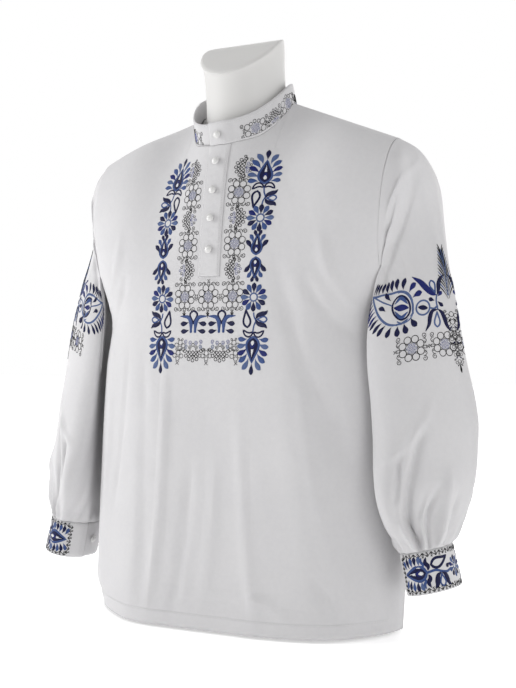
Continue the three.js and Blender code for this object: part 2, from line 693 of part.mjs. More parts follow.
// The trunk under the shirt, from the flat base to the shoulders.
function trunkLoft() {
  const turns = Array.from({ length: 32 }, (_, k) => rad((k * 360) / 32));
  const ups = [0, 0.1, 0.25, 0.4, 0.55, 0.7, 0.85, 1, 1.15, 1.3, 1.45, 1.6, 1.72, 1.82, 1.9, 1.96];
  const pointAt = (turn, up) => formPoint(Math.cos(turn) >= 0 ? -1 : 1, Math.sin(turn), up);
  return lofted(ups.map((up) => turns.map((turn) => pointAt(turn, up))));
}

// The height of the neck's cut top at a depth.
function cutZ(y) {
  const past = y - NECK_CUT.bendY;
  const bend = 8 * Math.log1p(Math.exp(-past / 8));
  const steeper = NECK_CUT.frontSlope - NECK_CUT.backSlope;
  return NECK_CUT.z + NECK_CUT.backSlope * past - steeper * bend;
}

// The neck, from inside the shoulders to its rounded rim.
function neckLoft() {
  const turns = Array.from({ length: 36 }, (_, k) => rad(k * 10));
  const ring = (z, inset = 0) => {
    const level = Math.min(z, NECK_RINGS[NECK_RINGS.length - 1].z);
    const y = column(NECK_RINGS, "z", "y", level);
    const wide = column(NECK_RINGS, "z", "halfWidth", level) - inset;
    const deep = column(NECK_RINGS, "z", "halfDepth", level) - inset;
    return turns.map((a) => new THREE.Vector3(wide * Math.sin(a), y - deep * Math.cos(a), z));
  };
  const straight = 795;
  const cutRing = (share, inset, below) =>
    turns.map((a, k) => {
      const level = lerp(straight, 850 - 34 * Math.cos(a), share);
      const p = ring(level, inset)[k];
      p.z = lerp(straight, cutZ(p.y) - below, share);
      return p;
    });
  return lofted([
    ...[690, 730, 770, straight].map((z) => ring(z)),
    cutRing(0.4, 0, 0),
    cutRing(0.75, 0, 0),
    cutRing(1, 0, NECK_CUT.rim),
    cutRing(1, NECK_CUT.rim * 0.3, NECK_CUT.rim * 0.3),
    cutRing(1, NECK_CUT.rim, 0),
    cutRing(1, 34, 0),
  ]);
}

function torsoForm(look) {
  const joined = solidOf(trunkLoft().geometry).add(solidOf(neckLoft().geometry));
  return meshOfSolid("torso_form", joined, look);
}

// ---------------------------------------------------------------- the whole
const matt = (color, roughness) =>
  new THREE.MeshStandardMaterial({ color, roughness, metalness: 0 });
const cotton = matt(0xf2f2f2, 0.85);
const bandCotton = matt(0xf0f0f2, 0.8);
const pearl = matt(0xf4f3ef, 0.35);
const formSkin = matt(0xe9e8e5, 0.6);

const shirt = new THREE.Group();
shirt.add(front(cotton), back(cotton), placket(bandCotton), collar(bandCotton));
[1, -1].forEach((side) => shirt.add(sleeve(side, cotton), cuff(side, bandCotton)));
shirt.add(...buttons(pearl));

const part = new THREE.Group();
part.add(shirt, torsoForm(formSkin));
export default part;
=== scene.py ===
"""Looks of a white folk shirt with blue and black embroidery on a headless torso form.

The shapes are in millimetres, in the frame of the solids: +Z is up, the front faces -Y and
the wearer's left is +X. Every cloth sheet lies on the solid of the same name. Meshes are
turned into metres when they are made.
"""

import logging
import math
from bisect import bisect_right
from collections.abc import Callable, Sequence
from dataclasses import dataclass, field, replace
from enum import Enum
from functools import lru_cache, partial
from typing import Self

import bpy
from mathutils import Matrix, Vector, noise


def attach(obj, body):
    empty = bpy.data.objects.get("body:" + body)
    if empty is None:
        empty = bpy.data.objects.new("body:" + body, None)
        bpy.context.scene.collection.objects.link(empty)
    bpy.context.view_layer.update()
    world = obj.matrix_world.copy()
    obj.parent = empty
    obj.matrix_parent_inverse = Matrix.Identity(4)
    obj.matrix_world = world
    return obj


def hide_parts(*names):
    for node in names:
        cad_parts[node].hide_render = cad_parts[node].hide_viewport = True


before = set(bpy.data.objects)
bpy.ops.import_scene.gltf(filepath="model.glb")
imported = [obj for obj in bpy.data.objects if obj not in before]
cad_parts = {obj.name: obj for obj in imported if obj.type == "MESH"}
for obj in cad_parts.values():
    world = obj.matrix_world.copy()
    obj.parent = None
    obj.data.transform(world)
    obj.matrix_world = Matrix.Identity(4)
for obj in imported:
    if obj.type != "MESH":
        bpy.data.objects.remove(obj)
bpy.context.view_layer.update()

LOG = logging.getLogger("folk_shirt")
MM = 0.001

Grid = list[list[Vector]]
Row = tuple[float, ...]
Spot = tuple[float, float]
Triple = tuple[float, float, float]
Line = Sequence[Spot]
Material = bpy.types.Material
Piece = bpy.types.Object
Socket = bpy.types.NodeSocket


class Named(Enum):
    """A choice among options that pieces and finishes are named after."""

    @property
    def word(self) -> str:
        """The option's name in small letters."""
        return self.name.lower()


class Face(Named):
    """A side of the body of the shirt, with the sign of its Y."""

    FRONT = -1
    BACK = 1


class Side(Named):
    """The wearer's left or right, with the sign of its X."""

    LEFT = 1
    RIGHT = -1

    @property
    def flip(self) -> Vector:
        """What moves a point of the left side to this one, by multiplying it."""
        return Vector((self.value, 1, 1))


class Slot(Enum):
    """The finishes that the record names."""

    COTTON = "cotton"
    BAND = "band_cotton"
    BUTTON = "button"
    FORM = "form"


# --- small maths
def clamp(value: float, low: float = 0.0, high: float = 1.0) -> float:
    """The value, held between low and high."""
    return low if value < low else high if value > high else value


def smooth(value: float) -> float:
    """A soft step from 0 to 1."""
    k = clamp(value)
    return k * k * (3 - 2 * k)


def lerp(a: float, b: float, k: float) -> float:
    """The number a share k of the way from a to b."""
    return a + (b - a) * k


def grain(a: float, b: float, seed: float = 0.0) -> float:
    """Smooth unevenness between about -1 and 1 at a point of a plane.

    Args:
        a: First coordinate, in units of the unevenness.
        b: Second coordinate.
        seed: Which unevenness.

    Returns:
        The same number at the same place every time.
    """
    return noise.noise(Vector((a, b, 7.3 * seed + 0.5)))


class Table:
    """Rows of named numbers, read smoothly between rows. The first name is the key."""

    def __init__(self, names: str, *rows: Row) -> None:
        """Keeps the names, which are given in one string, and the rows."""
        self.names = names.split()
        self.rows = rows

    def value(self, name: str, at: float) -> float:
        """The named number at a place.

        Args:
            name: Which column.
            at: The key to read it at.

        Returns:
            The value on a smooth curve through the rows.
        """
        c = self.names.index(name)
        rows = self.rows
        i = 0
        while i < len(rows) - 2 and at > rows[i + 1][0]:
            i += 1
        a, b = rows[i], rows[i + 1]
        before, after = rows[max(0, i - 1)], rows[min(len(rows) - 1, i + 2)]
        span = b[0] - a[0]
        k = clamp((at - a[0]) / span)
        slope_a = (b[c] - before[c]) / (b[0] - before[0]) * span
        slope_b = (after[c] - a[c]) / (after[0] - a[0]) * span
        k2, k3 = k * k, k * k * k
        return (
            a[c] * (2 * k3 - 3 * k2 + 1)
            + slope_a * (k3 - 2 * k2 + k)
            + b[c] * (3 * k2 - 2 * k3)
            + slope_b * (k3 - k2)
        )


def creased(rows: Sequence[Row], a: float, b: float) -> float:
    """How far soft ridges and troughs push the cloth out at a place of a chart of it.

    Args:
        rows: For each, where it starts and ends, its bow, its width and its height.
        a: First coordinate on the chart.
        b: Second coordinate.

    Returns:
        The push in millimetres.
    """
    out = 0.0
    for start_a, start_b, end_a, end_b, bow, width, height in rows:
        da, db = end_a - start_a, end_b - start_b
        length = math.hypot(da, db)
        pa, pb = a - start_a, b - start_b
        t = (pa * da + pb * db) / (length * length)
        if t < -0.15 or t > 1.15:
            continue
        aside = (pb * da - pa * db) / length - 4 * bow * t * (1 - t)
        wide = width * (0.8 + 0.5 * grain(t * length / 45, 0.0, height))
        if abs(aside) > 3 * wide:
            continue
        fade = smooth((t + 0.15) / 0.35) * smooth((1.15 - t) / 0.35)
        uneven = 1 + 0.35 * grain(t * length / 30, 3.1, width)
        out += height * fade * uneven * math.exp(-((aside / wide) ** 2))
    return out


# --- meshes
@dataclass
class Meshwork:
    """Points and faces gathered for one mesh, in millimetres."""

    points: list[Vector] = field(default_factory=list)
    faces: list[tuple[int, ...]] = field(default_factory=list)
    looks: list[int] = field(default_factory=list)
    runs: list[float] = field(default_factory=list)

    def add(self, point: Vector, run: float = 0.0) -> int:
        """Adds a point.

        Args:
            point: Where it is.
            run: How far along its thread.

        Returns:
            Its number.
        """
        self.points.append(point)
        self.runs.append(run)
        return len(self.points) - 1

    def face(self, corners: Sequence[int], look: int = 0) -> None:
        """Adds a face with the number of its finish."""
        self.faces.append(tuple(corners))
        self.looks.append(look)

    def loft(self, rings: Grid) -> None:
        """Adds a solid through rings of points, with both ends closed.

        Args:
            rings: The rings, from the bottom up.
        """
        numbers = [[self.add(p) for p in ring] for ring in rings]
        count = len(rings[0])
        for low, high in zip(numbers, numbers[1:]):
            for k in range(count):
                n = (k + 1) % count
                self.face((low[k], low[n], high[n], high[k]))
        self.face(numbers[0][::-1])
        self.face(numbers[-1])

    def piece(self, name: str, finishes: Sequence[Material]) -> Piece:
        """Makes the object.

        Args:
            name: The piece's name.
            finishes: Its materials, in the order of the faces' numbers.

        Returns:
            The object, smooth shaded, in metres.
        """
        mesh = bpy.data.meshes.new(name)
        mesh.from_pydata([tuple(p * MM) for p in self.points], [], self.faces)
        for finish in finishes:
            mesh.materials.append(finish)
        mesh.polygons.foreach_set("material_index", self.looks)
        mesh.polygons.foreach_set("use_smooth", [True] * len(self.faces))
        run = mesh.attributes.new("run", "FLOAT", "POINT")
        run.data.foreach_set("value", self.runs)
        mesh.validate()
        mesh.update()
        made = bpy.data.objects.new(name, mesh)
        bpy.context.scene.collection.objects.link(made)
        return made


def grid_normals(grid: Grid, outward: Callable[[Vector], Vector], closed: bool = False) -> Grid:
    """Unit normals of a grid of points.

    Args:
        grid: Rows of points.
        outward: A point's rough outward direction, which only sets the sign.
        closed: Whether each row is a ring.

    Returns:
        One normal a point, in the same layout.
    """
    rows, cols = len(grid), len(grid[0])
    normals: Grid = []
    for j, row in enumerate(grid):
        low, high = grid[max(0, j - 1)], grid[min(rows - 1, j + 1)]
        found = []
        for i, point in enumerate(row):
            left = row[i - 1] if closed or i > 0 else row[0]
            right = row[(i + 1) % cols] if closed or i < cols - 1 else row[-1]
            n = (right - left).cross(high[i] - low[i])
            n = n.normalized() if n.length > 1e-9 else outward(point).normalized()
            found.append(-n if n.dot(outward(point)) < 0 else n)
        normals.append(found)
    return normals


def moved(grid: Grid, normals: Grid, by: float) -> Grid:
    """The grid, moved along its normals by a distance."""
    return [[p + n * by for p, n in zip(row, lean)] for row, lean in zip(grid, normals)]


def wall(
    outer: Grid,
    inner: Grid,
    closed: bool = False,
    keep: Callable[[int, int], bool] | None = None,
) -> Meshwork:
    """A thin sheet between an outer and an inner grid, closed round its edges.

    Args:
        outer: Rows of outer points.
        inner: Rows of inner points.
        closed: Whether each row is a ring.
        keep: Says which cells exist.

    Returns:
        The sheet's points and faces, facing out.
    """
    rows, cols = len(outer), len(outer[0])
    cells = cols if closed else cols - 1
    work = Meshwork()
    for row in outer + inner:
        for point in row:
            work.add(point)

    def there(j: int, i: int) -> bool:
        """Whether a cell exists."""
        inside = 0 <= j < rows - 1 and (closed or 0 <= i < cells)
        return inside and (keep is None or keep(j, i % cells))

    for j in range(rows - 1):
        for i in range(cells):
            if not there(j, i):
                continue
            ring = ((j, i), (j, i + 1), (j + 1, i + 1), (j + 1, i))
            o = [row * cols + column % cols for row, column in ring]
            n = [number + rows * cols for number in o]
            work.face(o)
            work.face(n[::-1])
            sides = ((0, 1, (j - 1, i)), (2, 3, (j + 1, i)), (3, 0, (j, i - 1)), (1, 2, (j, i + 1)))
            for a, b, beside in sides:
                if not there(*beside):
                    work.face((o[b], o[a], n[a], n[b]))
    return facing_out(work)


def facing_out(work: Meshwork) -> Meshwork:
    """Turns all faces round where the closed mesh has a negative volume.

    Args:
        work: The mesh.

    Returns:
        The same mesh, facing out.
    """
    volume = 0.0
    for corners in work.faces:
        a = work.points[corners[0]]
        for k in range(1, len(corners) - 1):
            b, c = work.points[corners[k]], work.points[corners[k + 1]]
            volume += a.dot(b.cross(c))
    if volume < 0:
        work.faces = [corners[::-1] for corners in work.faces]
    return work


def mirrored(grid: Grid, side: Side) -> Grid:
    """The grid on the named side of the body."""
    return [[p * side.flip for p in row] for row in grid]


# --- the shapes of the cloth
@dataclass(frozen=True, eq=False)
class BodyForm:
    """The shape of the body of the shirt, the same as its solids', with finer creases."""

    cloth: float = 1.6
    seam: float = 0.1
    hem_z: float = 4.0
    hem_top: float = 22.6
    hem_soft: float = 1.6
    hem_thick: float = 0.7
    shoulder_z: float = 560.0
    relief: float = 1.5
    arm_x: float = 240.0
    arm_z: float = 460.0
    ridge_x: float = 250.0
    ridge_z0: float = 800.0
    ridge_fall: float = 0.39
    # The ridge sinks beside the neck: middle x, half width and depth.
    settle: Triple = (-84.0, 62.0, 9.0)
    # Depths of the armhole and of the neck hole, front and back.
    armhole: Spot = (62.0, 70.0)
    neck_half: float = 80.0
    neck_depth: Spot = (82.0, 66.0)
    # How the yoke arches at the front and the back, and its swell towards the arm.
    curve: Triple = (0.45, 0.3, 352.0)
    sections: Table = Table(
        "z half front back square",
        (4, 256, 158, 132, 2.5),
        (60, 259, 147, 128, 2.5),
        (200, 256, 134, 123, 2.6),
        (330, 250, 124, 119, 2.7),
        (460, 240, 115, 116, 2.8),
    )
    # Soft folds: face, top x, top z, hem x, width and height.
    folds: tuple[Row, ...] = (
        (-1, -98, 430, -112, 30, 6), (-1, 112, 450, 200, 32, 8),
        (-1, 10, 400, 40, 60, -6), (-1, 170, 420, 236, 18, -6),
        (-1, -170, 440, -190, 26, -5), (1, -120, 480, -150, 34, 8),
        (1, 95, 500, 130, 36, 7), (1, -20, 470, -30, 48, -7),
        (1, 178, 440, 205, 24, -6),
    )
    # Creases: start x and z, end x and z, bow, width and height.
    front_creases: tuple[Row, ...] = (
        (-70, 372, -82, 30, 5, 9, 2.8), (-114, 380, -100, 40, 4, 13, -3.0),
        (150, 360, 214, 40, -6, 11, 3.2), (112, 510, 214, 240, -10, 14, -3.4),
        (58, 300, 92, 30, -5, 12, 2.2), (20, 250, 8, 40, 3, 14, 1.8),
        (-22, 225, -40, 20, 3, 10, -2.2), (84, 56, 142, 28, 5, 6, 2.4),
        (170, 90, 206, 22, 5, 7, -2.4), (222, 34, 240, 8, 2, 5, 2.0),
        (-150, 400, -176, 170, 4, 9, -2.6), (-196, 340, -214, 140, 3, 9, 2.6),
        (214, 420, 150, 500, 8, 9, -2.8), (224, 450, 170, 560, 10, 9, 2.6),
        (-214, 425, -160, 505, -8, 9, -2.8), (-226, 455, -176, 570, -10, 9, 2.6),
        (120, 610, 70, 690, 4, 9, 1.2), (-130, 590, -78, 680, -4, 9, 1.2),
        (-80, 55, 238, 55, 0, 3.2, 1.0), (-236, 60, -230, 14, 2, 4, 2.0),
        (-224, 48, -220, 10, 1, 4, -1.8), (-212, 44, -210, 10, 1, 4, 1.6),
    )
    back_creases: tuple[Row, ...] = (
        (-60, 400, -92, 60, 8, 11, 3.0), (40, 360, 64, 40, -6, 11, 3.0),
        (0, 300, -8, 40, 4, 10, -2.4), (150, 380, 176, 120, -6, 10, 2.8),
        (-168, 420, -196, 160, 4, 9, -2.8), (214, 430, 140, 520, 8, 10, -2.8),
        (226, 455, 160, 590, 10, 9, 2.6), (-214, 430, -140, 525, -8, 10, -2.8),
        (-226, 460, -170, 590, -10, 9, 2.6), (-60, 640, 60, 636, 10, 12, 1.4),
        (120, 60, 180, 20, 6, 7, 2.2), (-238, 55, 238, 55, 0, 3.2, 1.0),
    )

    def settled(self, x: float) -> float:
        """How far the shoulder ridge sinks beside the neck."""
        middle, width, depth = self.settle
        return depth * math.exp(-(((x - middle) / width) ** 2))

    def ridge(self, x: float) -> float:
        """The height of the shoulder ridge at an x."""
        return self.ridge_z0 - self.ridge_fall * abs(x) - self.settled(x)

    def fold(self, face: Face, x: float, z: float) -> float:
        """How far the soft folds push the body out.

        Args:
            face: Front or back.
            x: Place across the body.
            z: Height.

        Returns:
            The push.
        """
        out = 0.0
        for sign, top_x, top_z, hem_x, width, height in self.folds:
            if sign != face.value or z > top_z:
                continue
            down = clamp((top_z - z) / top_z)
            crest = lerp(top_x, hem_x, down)
            wide = width * (0.7 + 0.6 * down)
            out += height * smooth(down * 2.2) * math.exp(-(((x - crest) / wide) ** 2))
        return out

    def crease(self, face: Face, x: float, z: float) -> float:
        """How far the finer creases push the body out, less near the shoulders.

        Args:
            face: Front or back.
            x: Place across the body.
            z: Height.

        Returns:
            The push.
        """
        lines = self.front_creases if face is Face.FRONT else self.back_creases
        calm = 1 - 0.75 * smooth((z - self.shoulder_z) / 110)
        soft = 0.9 * grain(x / 42, z / 105, 1 + face.value) + 0.35 * grain(x / 17, z / 34, 5)
        return calm * (self.relief * creased(lines, x, z) + soft + 0.4)

    def half(self, face: Face, side: float, z: float) -> float:
        """Half the width of the skirt of the shirt on one face and side.

        Args:
            face: Front or back.
            side: Which side, by its sign.
            z: Height.

        Returns:
            The half width.
        """
        under = self.arm_z - z
        ease = 0.4 * under * clamp(1 - under / 90) ** 2
        vent = 16 * smooth((90 - z) / 90) if face is Face.BACK else 0.0
        curl = 15 * smooth((52 - z) / 52) if side < 0 else 0.0
        return self.sections.value("half", z) - ease - vent - curl

    def skirt(self, face: Face, across: float, z: float) -> Vector:
        """A point under the arm level.

        Args:
            face: Front or back.
            across: From -1 to 1.
            z: Height.

        Returns:
            The point.
        """
        square = self.sections.value("square", z)
        x = self.half(face, across, z) * across
        plan = math.sqrt(max(0.0, 1 - abs(across) ** square))
        deep = self.sections.value(face.word, z) + self.fold(face, x, z) + self.crease(face, x, z)
        deep += self.hem_thick * (1 - smooth((z - self.hem_top) / self.hem_soft))
        return Vector((x, face.value * (self.seam / 2 + plan * deep), z))

    def arch(self, face: Face, edge: float) -> float:
        """How steeply a face arches to the ridge, at a share of the way to the arm."""
        start = self.curve[0] if face is Face.FRONT else self.curve[1]
        return start + self.curve[2] * edge**4 * (1 - edge) ** 6

    def yoke_y(self, face: Face, x: float, rise: float) -> float:
        """The depth of the body above the arm level.

        Args:
            face: Front or back.
            x: Place across the body.
            rise: Share of the way from the arm level up to the ridge.

        Returns:
            Its Y.
        """
        side = lerp(self.arm_x, self.ridge_x, rise)
        edge = min(1.0, abs(x) / side)
        z = self.arm_z + (self.ridge(x) - self.arm_z) * rise
        arch = max(0.0, 1 - rise * rise) ** self.arch(face, edge)
        lean = 0.07 * (z - self.arm_z) * (1 - rise) ** 2
        depth = self.sections.value(face.word, self.arm_z) * arch - lean + 0.01
        square = self.sections.value("square", self.arm_z)
        deepest = self.armhole[0] if face is Face.FRONT else self.armhole[1]
        hole = 2 * deepest * math.sqrt(max(0.0, rise * (1 - rise)))
        reach = side / (1 - min(0.95, hole / depth) ** 2) ** (1 / square)
        plan = math.sqrt(max(0.0, 1 - (abs(x) / reach) ** square))
        pushed = self.fold(face, x, z) + self.crease(face, x, z)
        return face.value * (self.seam / 2 + plan * (depth + pushed * arch))

    def yoke(self, face: Face, across: float, turn: float) -> Vector:
        """A point above the arm level.

        Args:
            face: Front or back.
            across: From -1 to 1.
            turn: 0 at the arm level and 90 at the ridge.

        Returns:
            The point.
        """
        rise = math.sin(math.radians(turn)) ** (1 + abs(across) ** 3)
        x = lerp(self.arm_x, self.ridge_x, rise) * across
        z = self.arm_z + (self.ridge(x) - self.arm_z) * rise
        return Vector((x, self.yoke_y(face, x, rise), z))

    @lru_cache(maxsize=4096)
    def neck_turn(self, face: Face, across: float) -> float:
        """Where a column of the yoke meets the neck hole.

        Args:
            face: Front or back.
            across: From -1 to 1.

        Returns:
            The turn in degrees.
        """
        reach = abs(self.ridge_x * across) / self.neck_half
        if reach >= 0.9999:
            return 90.0
        deep = self.neck_depth[0] if face is Face.FRONT else self.neck_depth[1]
        hole = deep * math.sqrt(1 - reach * reach)
        low, high = 0.0, 90.0
        for _ in range(26):
            middle = (low + high) / 2
            if abs(self.yoke(face, across, middle).y) > hole:
                low = middle
            else:
                high = middle
        return low

    def point(self, face: Face, across: float, up: float) -> Vector:
        """A point of the body.

        Args:
            face: Front or back.
            across: From -1 to 1.
            up: 0 at the hem, 1 under the arms and 2 at the top.

        Returns:
            The point.
        """
        if up <= 1:
            return self.skirt(face, across, lerp(self.hem_z, self.arm_z, up))
        return self.yoke(face, across, (up - 1) * self.neck_turn(face, across))

    def spot(self, face: Face, x: float, z: float) -> Vector:
        """The point of a face at an x and a height.

        Args:
            face: Front or back.
            x: Place across the body.
            z: Height.

        Returns:
            The point.
        """
        if z <= self.arm_z:
            return self.skirt(face, x / self.half(face, x, z), z)
        rise = min(1.0, (z - self.arm_z) / (self.ridge(x) - self.arm_z))
        return Vector((x, self.yoke_y(face, x, rise), z))

    def outward(self, point: Vector) -> Vector:
        """The rough outward direction at a point, which tips up over the shoulders."""
        return Vector((point.x * 0.25, point.y, max(0.0, point.z - self.shoulder_z)))

    def side_clear(self, y: float, z: float) -> float:
        """The half width of the body that a sleeve stays clear of.

        Args:
            y: Depth.
            z: Height.

        Returns:
            The half width.
        """
        name = "front" if y < 0 else "back"
        level = min(z, self.arm_z)
        depth = self.sections.value(name, level) + 6
        square = self.sections.value("square", level)
        reach = min(1.0, abs(y) / depth)
        return self.sections.value("half", level) * (1 - reach * reach) ** (1 / square)


@dataclass(frozen=True)
class SleeveForm:
    """The shape of a sleeve, given for the wearer's left."""

    body: BodyForm
    gathers: int = 14
    relief: float = 1.4
    rings: Table = Table(
        "at out_x out_z in_x in_z y front back lean_f lean_b",
        (0 / 13, 250, 702.5, 240, 460, 0, 62, 70, 0, 0),
        (1 / 13, 275, 684, 237, 452, 13, 68, 68, 6, 0),
        (2 / 13, 292, 648, 233, 442, 26, 74, 67, 16, 0),
        (3 / 13, 301, 597, 229, 428, 27, 78, 68, 28, 4),
        (4 / 13, 314, 540, 228, 408, 18, 77, 72, 40, 14),
        (5 / 13, 329, 485, 232, 384, 8, 78, 78, 45, 30),
        (6 / 13, 341, 430, 240, 350, 3, 80, 80, 47, 38),
        (7 / 13, 352, 370, 248, 308, 3, 84, 82, 47, 40),
        (8 / 13, 363, 310, 252, 266, 3, 90, 84, 46, 36),
        (9 / 13, 366, 258, 254, 226, -1, 94, 86, 44, 28),
        (10 / 13, 363, 215, 254, 188, -8, 91, 82, 36, 16),
        (11 / 13, 354, 180, 256, 158, -17, 78, 71, 24, 6),
        (12 / 13, 344, 153, 263, 135, -27, 58, 55, 8, 0),
        (13 / 13, 338.2, 135.6, 269.8, 120.4, -32, 48, 48, 0, 0),
    )
    # Soft folds: lower and upper angle, where they start and end, width and height.
    folds: tuple[Row, ...] = (
        (74, 66, 0.6, 1, 9, -9), (92, 88, 0.66, 1, 11, 6),
        (50, 40, 0.74, 1, 8, -6), (28, 22, 0.68, 1, 9, 4),
        (122, 130, 0.55, 1, 10, -6), (-20, -12, 0.62, 1, 9, -6),
        (-70, -60, 0.58, 1, 10, -8), (-112, -118, 0.66, 1, 10, -6),
        (96, 30, 0.02, 0.3, 9, 6), (78, 16, 0.04, 0.34, 8, -6),
        (-96, -34, 0.02, 0.3, 10, -5),
    )
    # Creases like the body's, on a chart of the angle times 1.5 and the length in millimetres.
    creases: tuple[Row, ...] = (
        (24, 60, 116, 42, 8, 9, 2.8), (140, 70, 60, 200, 10, 8, 2.6),
        (152, 100, 76, 250, 12, 8, -2.8), (40, 80, 10, 210, 6, 10, 2.0),
        (70, 344, 110, 562, -7, 8, -5.0), (60, 330, 128, 380, 10, 8, 2.8),
        (84, 360, 126, 550, -6, 8, 3.4), (54, 434, 78, 566, -4, 6, -4.4),
        (66, 440, 94, 566, -4, 5, 3.6), (106, 380, 120, 440, 4, 6, -2.6),
        (22, 440, 34, 568, 3, 6, -4.0), (38, 410, 54, 566, 3, 6, 3.4),
        (4, 300, -6, 470, 5, 10, 2.4), (-22, 380, -2, 564, 8, 7, -3.6),
        (-48, 430, -38, 566, 3, 6, 3.6), (-80, 420, -94, 566, -3, 6, -4.0),
        (-120, 380, -112, 540, 4, 7, 3.2), (-152, 400, -150, 540, 3, 7, -3.0),
        (-100, 90, -30, 240, -10, 9, 2.6), (-140, 120, -60, 300, -12, 9, -2.6),
        (-150, 280, -90, 360, -12, 8, 2.8),
    )

    def value(self, name: str, at: float) -> float:
        """The named size of the sleeve at a place along it."""
        return self.rings.value(name, at)

    def fold(self, angle: float, at: float) -> float:
        """How far the folds push the sleeve out.

        Args:
            angle: Angle round it in degrees.
            at: Place along it from 0 to 1.

        Returns:
            The push.
        """
        out = 0.0
        for low, high, start, end, width, height in self.folds:
            if at <= start:
                continue
            span = clamp((at - start) / (end - start))
            away = (angle - lerp(high, low, span) + 540) % 360 - 180
            wide = width * (1.5 - 0.6 * span)
            if abs(away) > 3.2 * wide:
                continue
            fade = math.sin(math.pi * span) if end < 1 else smooth(span * 2.5)
            if end >= 1:
                fade *= 1 - 0.75 * smooth((at - 0.9) * 10)
            out += height * fade * math.exp(-((away / wide) ** 2))
        return out

    def crease(self, angle: float, at: float) -> float:
        """How far the finer creases push the sleeve out.

        Args:
            angle: Angle round it in degrees.
            at: Place along it from 0 to 1.

        Returns:
            The push.
        """
        a = ((angle + 180) % 360 - 180) * 1.5
        b = at * 560
        ends = smooth(at / 0.06) * smooth((1 - at) / 0.02)
        turn = math.radians(angle)
        soft = grain(2.6 * math.cos(turn), 2.6 * math.sin(turn) + b / 70, 9)
        return ends * (self.relief * creased(self.creases, a, b) + 0.9 * soft)

    def gather(self, angle: float, at: float) -> float:
        """How far the gathers above the cuff push the sleeve out.

        Args:
            angle: Angle round it in degrees.
            at: Place along it from 0 to 1.

        Returns:
            The push.
        """
        near = smooth((at - 0.8) / 0.14)
        if near == 0:
            return 0.0
        at_seam = 1 - 0.6 * smooth((at - 0.94) / 0.06)
        uneven = 1 + 0.25 * math.sin(math.radians(angle * 5 + 40))
        return 2.6 * near * at_seam * uneven * math.cos(math.radians(angle * self.gathers))

    def point(self, angle: float, at: float) -> Vector:
        """A point of the left sleeve.

        Args:
            angle: Degrees round it: 0 outside, 90 at the front, 180 inside.
            at: 0 at the armhole and 1 at the cuff.

        Returns:
            The point.
        """
        turn = math.radians(angle)
        out_x, out_z = self.value("out_x", at), self.value("out_z", at)
        in_x, in_z = self.value("in_x", at), self.value("in_z", at)
        forward = math.sin(turn)
        push = self.fold(angle, at) + self.gather(angle, at) + self.crease(angle, at)
        half = math.hypot(out_x - in_x, out_z - in_z) / 2
        depth = self.value("front" if forward > 0 else "back", at) + push
        along = math.cos(turn) * (1 + push / half) / 2
        lean = self.value("lean_f" if forward > 0 else "lean_b", at) * abs(forward)
        x = (out_x + in_x) / 2 + (out_x - in_x) * along - lean
        y = self.value("y", at) - depth * forward
        z = (out_z + in_z) / 2 + (out_z - in_z) * along
        clear = smooth(at / 0.12) * (1 - smooth((at - 0.88) / 0.1))
        least = self.body.side_clear(y, z) + 9
        excess = (x - least) / 10
        if excess < 30:
            x = lerp(x, least + 10 * math.log1p(math.exp(excess)), clear)
        return Vector((x, y, z))


@dataclass(frozen=True)
class CuffForm:
    """The shape of a cuff, given for the wearer's left."""

    height: float = 57.0
    half_width: float = 35.0
    half_depth: float = 48.0
    # The middle of the top edge.
    top: Triple = (304.0, -32.0, 128.0)
    lean: float = 12.6
    start: float = 165.0
    end: float = -210.0
    # The angles between which the lapped end goes under.
    under: Spot = (-150.0, -185.0)
    band: float = 2.2
    seam: float = 0.4

    @property
    def axis(self) -> Vector:
        """The direction down the cuff."""
        lean = math.radians(self.lean)
        return Vector((math.sin(lean), 0, -math.cos(lean)))

    def tuck(self, angle: float) -> float:
        """How far the lapped end lies under the other."""
        share = (self.under[0] - angle) / (self.under[0] - self.under[1])
        return (self.band + self.seam) * smooth(share)

    def point(self, angle: float, down: float, inward: float = 0.0) -> Vector:
        """A point of the left cuff.

        Args:
            angle: Degrees round it, as on the sleeve.
            down: 0 at its seam and 1 at its free edge.
            inward: How far inside the outer face.

        Returns:
            The point.
        """
        lean, turn = math.radians(self.lean), math.radians(angle)
        wide = (self.half_width - inward) * math.cos(turn)
        deep = (self.half_depth - inward) * math.sin(turn)
        flare = 1 + 0.035 * down
        drop = self.height * down + self.seam
        x, y, z = self.top
        return Vector(
            (
                x + drop * math.sin(lean) + wide * math.cos(lean) * flare,
                y - deep * flare,
                z - drop * math.cos(lean) + wide * math.sin(lean) * flare,
            )
        )


